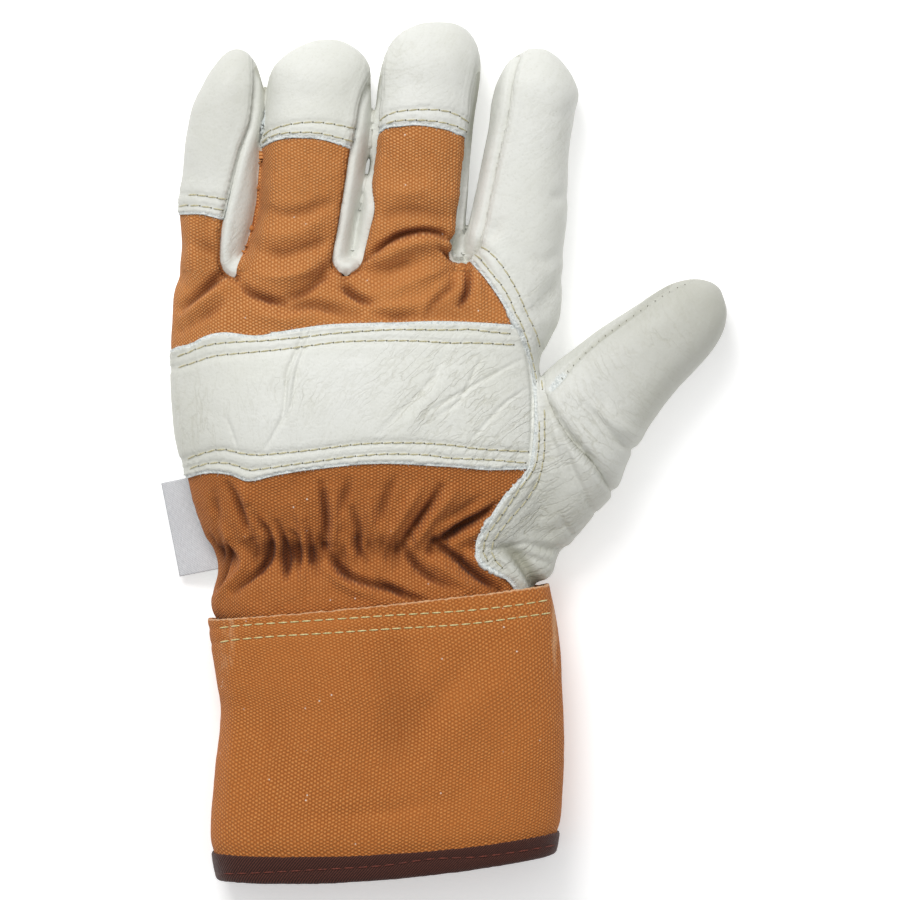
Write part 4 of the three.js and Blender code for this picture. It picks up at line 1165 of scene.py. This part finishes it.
def dress_panels(panels):
    made = {}
    for name, bm in panels.items():
        if FINER:
            refine(bm, [face for face in bm.faces if shows(name, face)])
        points, normals = places(bm), stored_ways(bm)
        flat = points[:, :2]
        height = relief(points)
        if not name.endswith("canvas"):
            set_map(bm, "grain", *grain_map(name, points))
            # Painted shade: the leather is darker where its creases, grooves and hollows sink
            hollow_shade = np.clip((-height - 0.7) / 2.2, 0, 1)
            if name.startswith("fork"):
                # Painted shade, darker low in the gaps between the fingers
                hollow_shade = np.maximum(hollow_shade, 0.9 * (1 - ease(points[:, 2], 12, 15.5)))
            set_values(bm, "hollow_shade", hollow_shade)
            set_values(bm, "grey_and_shade", np.clip(grey_and_shade_at(name, flat), 0, 1))
            worked = sum(s * np.exp(-((flat - (x, y)) ** 2).sum(1) / r**2) for x, y, r, s in CREASED)
            set_values(bm, "worked", np.clip(0.16 + worked, 0, 1))
        points += normals * height[:, None]
        raise_cut_edges(name, bm, flat, points, normals)
        if name == "thumb":
            away, share = line_distance(flat, smooth_rows(OPEN_SEAM, 3), 4)
            set_values(bm, "raw", 0.85 * np.exp(-((away / 0.9) ** 2)) * np.sin(np.pi * share) ** 0.4)
        rest_on_surface(points)
        put(bm, points)
        if name.endswith("canvas"):
            set_map(bm, "weave", weave_across(points), points[:, 1] + 0.25 * points[:, 2])
            # Painted shade in the canvas folds, by how far they sink
            set_values(bm, "hollow_shade", np.clip(-height / 2.5, 0, 1))
            cloth = CANVAS if name == "back_canvas" else SHADED_WRIST_CANVAS
            made[name] = piece(name + "_cloth", bm, [name], [cloth], CANVAS_WALL)
        else:
            leather = STRAP_LEATHER if name == "knuckle_strap" else LEATHER
            cut_edge = SUEDE if name.startswith(("knuckle", "cap")) else leather
            made[name] = piece(name + "_hide", bm, [name], [leather, cut_edge], HIDE_WALL, 1)
    return made


# Cuff, binding and label

def cuff_sections(rows, outset=0.0):
    for x0, y0, x1, y1, bottom, top, sag in rows:
        side = Vector((x1 - x0, y1 - y0)).normalized() * outset
        yield x0 - side.x, y0 - side.y, x1 + side.x, y1 + side.y, bottom - outset, top + outset, sag


def cuff_point(section, turn):
    x0, y0, x1, y1, bottom, top, sag = section
    widest = bottom + (top - bottom) * WIDEST
    across, up = math.sin(turn), math.cos(turn)
    power = 2 / (CUFF_TOP_POWER if up > 0 else CUFF_UNDERSIDE)
    out = math.copysign(abs(across) ** power, across)
    rise = math.copysign(abs(up) ** power, up) * (top - widest if up > 0 else widest - bottom)
    return Vector((
        (x0 + x1) / 2 + out * (x1 - x0) / 2,
        (y0 + y1) / 2 + out * (y1 - y0) / 2 - sag * (1 - out * out),
        widest + rise,
    ))


def cuff_edge(furthest, count):
    """The cuff's raw edge seen from above, over the back from side to side."""
    section = next(cuff_sections(CUFF[:1]))
    return np.array([cuff_point(section, turn)[:2] for turn in np.linspace(-furthest, furthest, count)])


def cuff_grid(sections, around):
    """An open tube with a weave map, one row of vertices for each section."""
    bm = bmesh.new()
    last = len(sections) - 1
    bmesh.ops.create_grid(bm, x_segments=around, y_segments=last, size=1)
    turns = np.linspace(-1, 1, 8001)
    turns = np.sign(turns) * np.abs(turns) ** 1.5 * math.pi
    middle = [cuff_point(sections[last // 2], turn) for turn in turns]
    round_length = np.cumsum([0] + [(b - a).length for a, b in zip(middle, middle[1:])])
    # Even steps round the section, so that its tight ends have no long faces
    even = np.interp(np.linspace(0, round_length[-1], around + 1), round_length, turns)
    layer = bm.loops.layers.uv.new("weave")
    column = {v: round((v.co.x + 1) / 2 * around) for v in bm.verts}
    row = {v: round((v.co.y + 1) / 2 * last) for v in bm.verts}
    along = np.cumsum([0] + [math.dist(a[1:4:2], b[1:4:2]) * 0.7 for a, b in zip(sections, sections[1:])])
    for face in bm.faces:
        for loop in face.loops:
            loop[layer].uv = (column[loop.vert] * round_length[-1] / around, along[row[loop.vert]])
    for v in bm.verts:
        v.co = cuff_point(sections[row[v]], even[column[v]])
    bmesh.ops.remove_doubles(bm, verts=bm.verts, dist=1e-3)
    bmesh.ops.recalc_face_normals(bm, faces=bm.faces)
    return bm


def make_cuff():
    bm = cuff_grid(list(cuff_sections(smooth_rows(CUFF, 16))), AROUND_CUFF)
    points = places(bm)
    flat = points[:, :2]
    top = ease(points[:, 2], 8, 20)
    height = fold_heights(flat, CUFF_FOLDS) * top
    height += 0.22 * rough(points, 16, 11, 3) + 0.05 * rough(points, 3, 12, 2)
    for row in CUFF_ROWS:
        height -= 0.3 * top * np.exp(-((line_distance(flat, smooth_rows(row, 3))[0] / 0.8) ** 2))
    edge = line_distance(flat, cuff_edge(1.5, 40), 12)[0]
    points += outward(bm) * height[:, None]
    rest_on_surface(points)
    points[:, 1] += 0.35 * np.exp(-((edge / 1.0) ** 2)) * rough(points, 1.2, 13, 2)
    put(bm, points)
    # Rubbed pale along the folded side, most of all near the wrist, and on the cut edge
    streaks = rough(points * (1.6, 0.3, 1), 5, 14, 3)
    fading = ease(flat[:, 1], -115, -70)
    dusty = 0.36 * np.exp(-(((flat[:, 0] + 67.5) / 4.5) ** 2)) * (0.8 + 0.7 * streaks) * fading
    far_side = 0.6 * np.exp(-(((flat[:, 0] - 35) / 1.1) ** 2)) * ease(flat[:, 1], -85, -55)
    cut_edge = np.array([v.is_boundary for v in bm.verts]) * (1.1 + 0.7 * rough(points, 0.9, 15, 2))
    set_values(bm, "raw", np.max([cut_edge, dusty, far_side], axis=0) * top)
    # Painted shade in the cuff's folds, by how far they sink
    set_values(bm, "hollow_shade", np.clip(-height / 7.0, 0, 0.4))
    return piece("cuff_cloth", bm, ["cuff"], [CUFF_CANVAS], CUFF_WALL)


def make_binding():
    """The tape folded over the cuff's end: outside, round the end, and back inside."""
    before, end = CUFF[-2], CUFF[-1]
    # out from the cuff's outer face, share of the way from the tape's outer edge to the end
    profile = [
        (0.05, -0.02), (0.45, -0.05), (0.85, 0.03), (0.95, 0.2), (0.95, 0.45), (0.95, 0.7), (0.85, 0.95),
        (0.45, 1.12), (-0.3, 1.2), (-1.1, 1.18), (-1.9, 1.05), (-2.3, 0.8), (-2.3, 0.4), (-2.2, 0.05),
        (-1.5, 0.0),
    ]
    sections = []
    for outset, share in smooth_rows(profile, 3):
        row = [a + (b - a) * share for a, b in zip(before, end)]
        row[4] = 1.1
        sections += list(cuff_sections([row], outset))
    bm = cuff_grid(sections, AROUND_CUFF)
    points = places(bm)
    height = 0.12 * rough(points, 2.0, 21, 3) + 0.2 * rough(points, 14, 22)
    for row in BINDING_ROWS:
        away = line_distance(points[:, :2], smooth_rows(row, 3))[0]
        height -= 0.3 * np.exp(-((away / 0.8) ** 2)) * (points[:, 2] > 18)
    points += outward(bm) * height[:, None]
    rest_on_surface(points)
    put(bm, points)
    return piece("cuff_binding_tape", bm, ["cuff_binding"], [TAPE])


CUFF_ROWS = [
    [(-74, -55.6), (-63, -54.1), (-47.6, -53), (-29.9, -51.8), (-13.5, -50.7), (6.6, -49.5), (24.3, -47.6),
     (33, -46.2)],
    [(-73.6, -60.6), (-66.5, -58.8), (-52, -57.4), (-34.3, -56.3), (-13.5, -54.9), (6.6, -53.7),
     (24.3, -51.5), (34, -50.3)],
]
BINDING_ROWS = [
    [(-72, -131), (-69.3, -131.9), (-39.5, -130.2), (-18.6, -128.9), (-3.5, -126.8), (12.6, -126.1),
     (35.5, -123)],
]


LABEL_WIDTH, LABEL_LENGTH = 17.6, 30.2
LABEL_CORNER = Vector((-89.3, -9.7))  # the free side's upper corner
LABEL_TURN = math.radians(11.3)
LABEL_DROOP = 6.4


def make_label():
    """A woven ribbon label caught in the side seam. Its free side droops to the surface."""
    bm = bmesh.new()
    bmesh.ops.create_grid(bm, x_segments=36, y_segments=60, size=1)
    layer = bm.loops.layers.uv.new("weave")
    for face in bm.faces:
        for loop in face.loops:
            loop[layer].uv = ((loop.vert.co.x + 1) * 9, (loop.vert.co.y + 1) * 15.3)
    across = Vector((math.cos(LABEL_TURN), math.sin(LABEL_TURN)))
    up = Vector((-across.y, across.x))
    for v in bm.verts:
        right, down = (v.co.x + 1) / 2 * LABEL_WIDTH, (1 - v.co.y) / 2 * LABEL_LENGTH
        free = 1 - right / LABEL_WIDTH
        waves = 0.35 * math.sin(down / 4.1) - 0.42 * math.sin(down / 6.5 + 0.6)
        height = SIDE_SEAM - 0.1 - LABEL_DROOP * free**1.5 + free * waves
        v.co = (*(LABEL_CORNER + across * right - up * down), height)
    bmesh.ops.recalc_face_normals(bm, faces=bm.faces)
    for face in bm.faces:
        if face.normal.z < 0:
            face.normal_flip()
    return piece("label_ribbon", bm, ["label"], [SATIN], RIBBON_WALL)


# Stitches

def small_ball(across_faces):
    """A small round mesh, long along X, that is copied for every stitch or needle hole."""
    bm = bmesh.new()
    bmesh.ops.create_uvsphere(bm, u_segments=6, v_segments=across_faces, radius=1)
    bmesh.ops.rotate(bm, verts=bm.verts, matrix=Matrix.Rotation(math.pi / 2, 3, "Y"))
    return to_mesh(bm, "stitch")


STITCH, HOLE_DOT = small_ball(5), small_ball(4)


def stitch_rows(name, slot, rows, onto, pitch, length, radius, materials, lift, turned):
    """Rows of short stitches laid on the pieces below them, with a dark dot of painted shadow for a needle
    hole after each if there is a second material. Stitches turned from their row are the ones that cross a
    turned seam."""
    bm = bmesh.new()

    def copy_of(mesh, centre, turn, size, index):
        copy = mesh.copy()
        copy.transform(Matrix.Translation(centre) @ turn @ Matrix.Diagonal((*size, 1)))
        for polygon in copy.polygons:
            polygon.material_index = index
        bm.from_mesh(copy)
        bpy.data.meshes.remove(copy)

    for row in rows:
        line = smooth_rows(row, 6)
        passed = np.concatenate([[0], np.cumsum(np.hypot(*np.diff(line, axis=0).T))])
        count = round(passed[-1] / pitch)
        for i in range(count):
            hits = []
            for shift in (-length / 2, 0, length / 2):
                at = (i + 0.5) * passed[-1] / count + shift + 0.06 * math.sin(i * 2.3)
                x, y = (np.interp(at, passed, line[:, axis]) for axis in (0, 1))
                hits.append(onto.ray_cast(Vector((x, y, 60)), Vector((0, 0, -1)))[:2])
            (a, normal_a), (middle, _), (b, normal_b) = hits
            if not (a and middle and b) or (b - a).length > 2.2 * length:
                continue
            if min(normal_a.z, normal_b.z) < 0.12:
                continue
            centre = (a + b) / 2
            centre.z = max(centre.z, middle.z)
            along = (b - a).normalized()
            side = (normal_a + normal_b).cross(along).normalized()
            up = along.cross(side)
            turn = Matrix((along, side, up)).transposed().to_4x4()
            stitch_turn = turn @ Matrix.Rotation(turned, 4, "Z")
            size = ((b - a).length / 2 * 1.05, radius, radius * 0.85)
            copy_of(STITCH, centre + up * lift, stitch_turn, size, 0)
            if len(materials) > 1:
                hole = b + along * (pitch - length) / 2 + up * 0.03
                copy_of(HOLE_DOT, hole, turn, (radius, radius * 1.2, radius * 0.4), 1)
    bmesh.ops.recalc_face_normals(bm, faces=bm.faces)
    return piece(name, bm, [], materials)


def small_fibre():
    """A thin three-sided hair, one unit long along X, that is bent and copied along the cut edges."""
    bm = bmesh.new()
    bmesh.ops.create_cone(bm, cap_ends=True, segments=3, radius1=1, radius2=0.4, depth=1)
    for share in (-0.25, 0.0, 0.25):
        everything = bm.verts[:] + bm.edges[:] + bm.faces[:]
        bmesh.ops.bisect_plane(bm, geom=everything, plane_co=(0, 0, share), plane_no=(0, 0, 1))
    bmesh.ops.rotate(bm, verts=bm.verts, matrix=Matrix.Rotation(math.pi / 2, 3, "Y"))
    bmesh.ops.translate(bm, verts=bm.verts, vec=(0.5, 0, 0))
    return to_mesh(bm, "fibre")


def loose_fibres(name, lines, onto, material, spacing, longest, seed):
    """Loose fibres that stand out of cut edges. Each line says on which side of it the edge is open, 1 for
    its left and -1 for its right."""
    chance = np.random.default_rng(seed)
    bm = bmesh.new()
    template = small_fibre()
    shape = np.empty(len(template.vertices) * 3)
    template.vertices.foreach_get("co", shape)
    shape = shape.reshape(-1, 3)
    for line, open_side in lines:
        passed = np.concatenate([[0], np.cumsum(np.hypot(*np.diff(line, axis=0).T))])
        for i in range(int(passed[-1] / spacing)):
            at = min((i + chance.random()) * spacing, passed[-1] - 0.4)
            here, ahead = (
                np.array([np.interp(s, passed, line[:, axis]) for axis in (0, 1)]) for s in (at, at + 0.3)
            )
            along = Vector((*(ahead - here), 0)).normalized()
            out = Vector((-along.y, along.x, 0)) * open_side
            lean, length = chance.normal(0, 0.75), longest * (0.3 + 0.7 * chance.random() ** 2)
            bend, rise = chance.normal(0, 0.4), chance.uniform(-0.35, 0.5)
            root = Vector((*here, 60)) - out * 0.35
            hit = onto.ray_cast(root, Vector((0, 0, -1)))[0]
            if not hit or hit.z < SIDE_SEAM:
                continue
            way = (out + along * lean).normalized()
            side = Vector((-way.y, way.x, 0))
            copy = template.copy()
            share = shape[:, :1]
            spots = np.array(hit - Vector((0, 0, 0.15))) + share * length * np.array(way)
            spots = spots + (shape[:, 1:2] * 0.055 + bend * length * share**2) * np.array(side)
            spots[:, 2] += shape[:, 2] * 0.055 + (rise * share * (1.2 - share) * length)[:, 0]
            copy.vertices.foreach_set("co", spots.ravel())
            bm.from_mesh(copy)
            bpy.data.meshes.remove(copy)
    bmesh.ops.recalc_face_normals(bm, faces=bm.faces)
    return piece(name, bm, [], [material])


def below(*objects):
    """What stitches are laid on, in millimetres."""
    bm = bmesh.new()
    for thing in objects:
        bm.from_mesh(thing.data)
    bmesh.ops.scale(bm, vec=(1 / MM,) * 3, verts=bm.verts)
    tree = BVHTree.FromBMesh(bm)
    bm.free()
    return tree


# The glove

form = even_form()
put(form, places(form) + outward(form) * SLIM)
store_way(form)
panels = cut_panels(form)
form.free()
made = dress_panels(panels)
cuff = make_cuff()
binding = make_binding()
make_label()

# Pitch, length, radius, materials, how high the thread lies, and how far it is turned from its row. The
# thread of a turned seam, as on the thumb, only shows where it crosses the groove, and is drawn there as
# dark ticks in the needle holes' painted shadow
TOPSTITCH = (3.3, 2.8, 0.25, [BEIGE_THREAD, HOLE], 0.1, 0.07)
TURNED_SEAM = (2.7, 0.8, 0.15, [HOLE], 0.06, 1.1)
CUFF_STITCH = (3.66, 2.9, 0.27, [ECRU_THREAD], 0.15, 0.0)
TAPE_STITCH = (4.2, 3.2, 0.26, [RED_BROWN_THREAD], 0.12, 0.0)

for name, rows in STITCH_ROWS.items():
    look = TURNED_SEAM if name == "thumb" else TOPSTITCH
    stitch_rows("stitches_" + name, "leather", rows, below(made[name]), *look)
stitch_rows("stitches_cuff", "canvas", CUFF_ROWS, below(cuff), *CUFF_STITCH)
stitch_rows("stitches_binding", "binding", BINDING_ROWS, below(binding), *TAPE_STITCH)

for name, edges in {
    "knuckle_strap": [("strap_top", 1), ("strap_bottom", -1)], "cap_little": [("cap_little", -1)],
    "cap_ring": [("cap_ring", -1)], "cap_middle": [("cap_middle", -1)], "palm": [("wing", -1)],
}.items():
    lines = [(SEAM_LINES[edge], side) for edge, side in edges]
    loose_fibres("fibres_" + name, lines, below(made[name]), FIBRE, 0.7, 1.5, len(name))
loose_fibres("fibres_cuff", [(cuff_edge(1.4, 60), 1)], below(cuff), LINT, 0.6, 0.9, 5)

# Floor, light and camera, in metres

GLOVE_TOP = Vector((0, 0, 0.02))
UNDER_GLOVE = (0, 0, -0.0002)
PHOTO_WIDTH = 900  # pixels
PIXEL = 0.315 * MM  # what one pixel of the photo shows of the glove
PHOTO_LEVEL = 14 * MM  # the height where that holds
PHOTO_MIDDLE = (2.2 * MM, 0.76 * MM)
CAMERA_HEIGHT = 2.2
SENSOR = 36.0

bm = bmesh.new()
bmesh.ops.create_grid(bm, x_segments=2, y_segments=2, size=3)
bmesh.ops.translate(bm, verts=bm.verts, vec=UNDER_GLOVE)
floor = in_scene("floor", to_mesh(bm, "floor"))
floor.data.materials.append(PAPER)


def soft_box(name, place, size, power):
    light = bpy.data.lights.new(name, "AREA")
    light.shape = "RECTANGLE"
    light.size, light.size_y = size
    light.energy = power
    holder = in_scene(name, light)
    holder.location = place
    holder.rotation_euler = (GLOVE_TOP - Vector(place)).to_track_quat("-Z", "Y").to_euler()


soft_box("key", (-0.32, 0.82, 0.95), (0.6, 0.6), 10)
soft_box("overhead", (-0.1, 0.15, 1.7), (1.6, 1.6), 8.5)
soft_box("fill", (0.8, -0.3, 1.0), (0.9, 0.9), 1.2)

world = bpy.data.worlds.new("studio")
world.use_nodes = True
world.node_tree.nodes["Background"].inputs["Color"].default_value = (1, 1, 1, 1)
world.node_tree.nodes["Background"].inputs["Strength"].default_value = 0.3
bpy.context.scene.world = world

camera_data = bpy.data.cameras.new("camera")
camera_data.sensor_width = SENSOR
camera_data.lens = SENSOR * (CAMERA_HEIGHT - PHOTO_LEVEL) / (PHOTO_WIDTH * PIXEL)
camera_data.clip_end = 20
camera = in_scene("camera", camera_data)
camera.location = (*PHOTO_MIDDLE, CAMERA_HEIGHT)
bpy.context.scene.camera = camera
bpy.context.scene.view_settings.view_transform = "Standard"
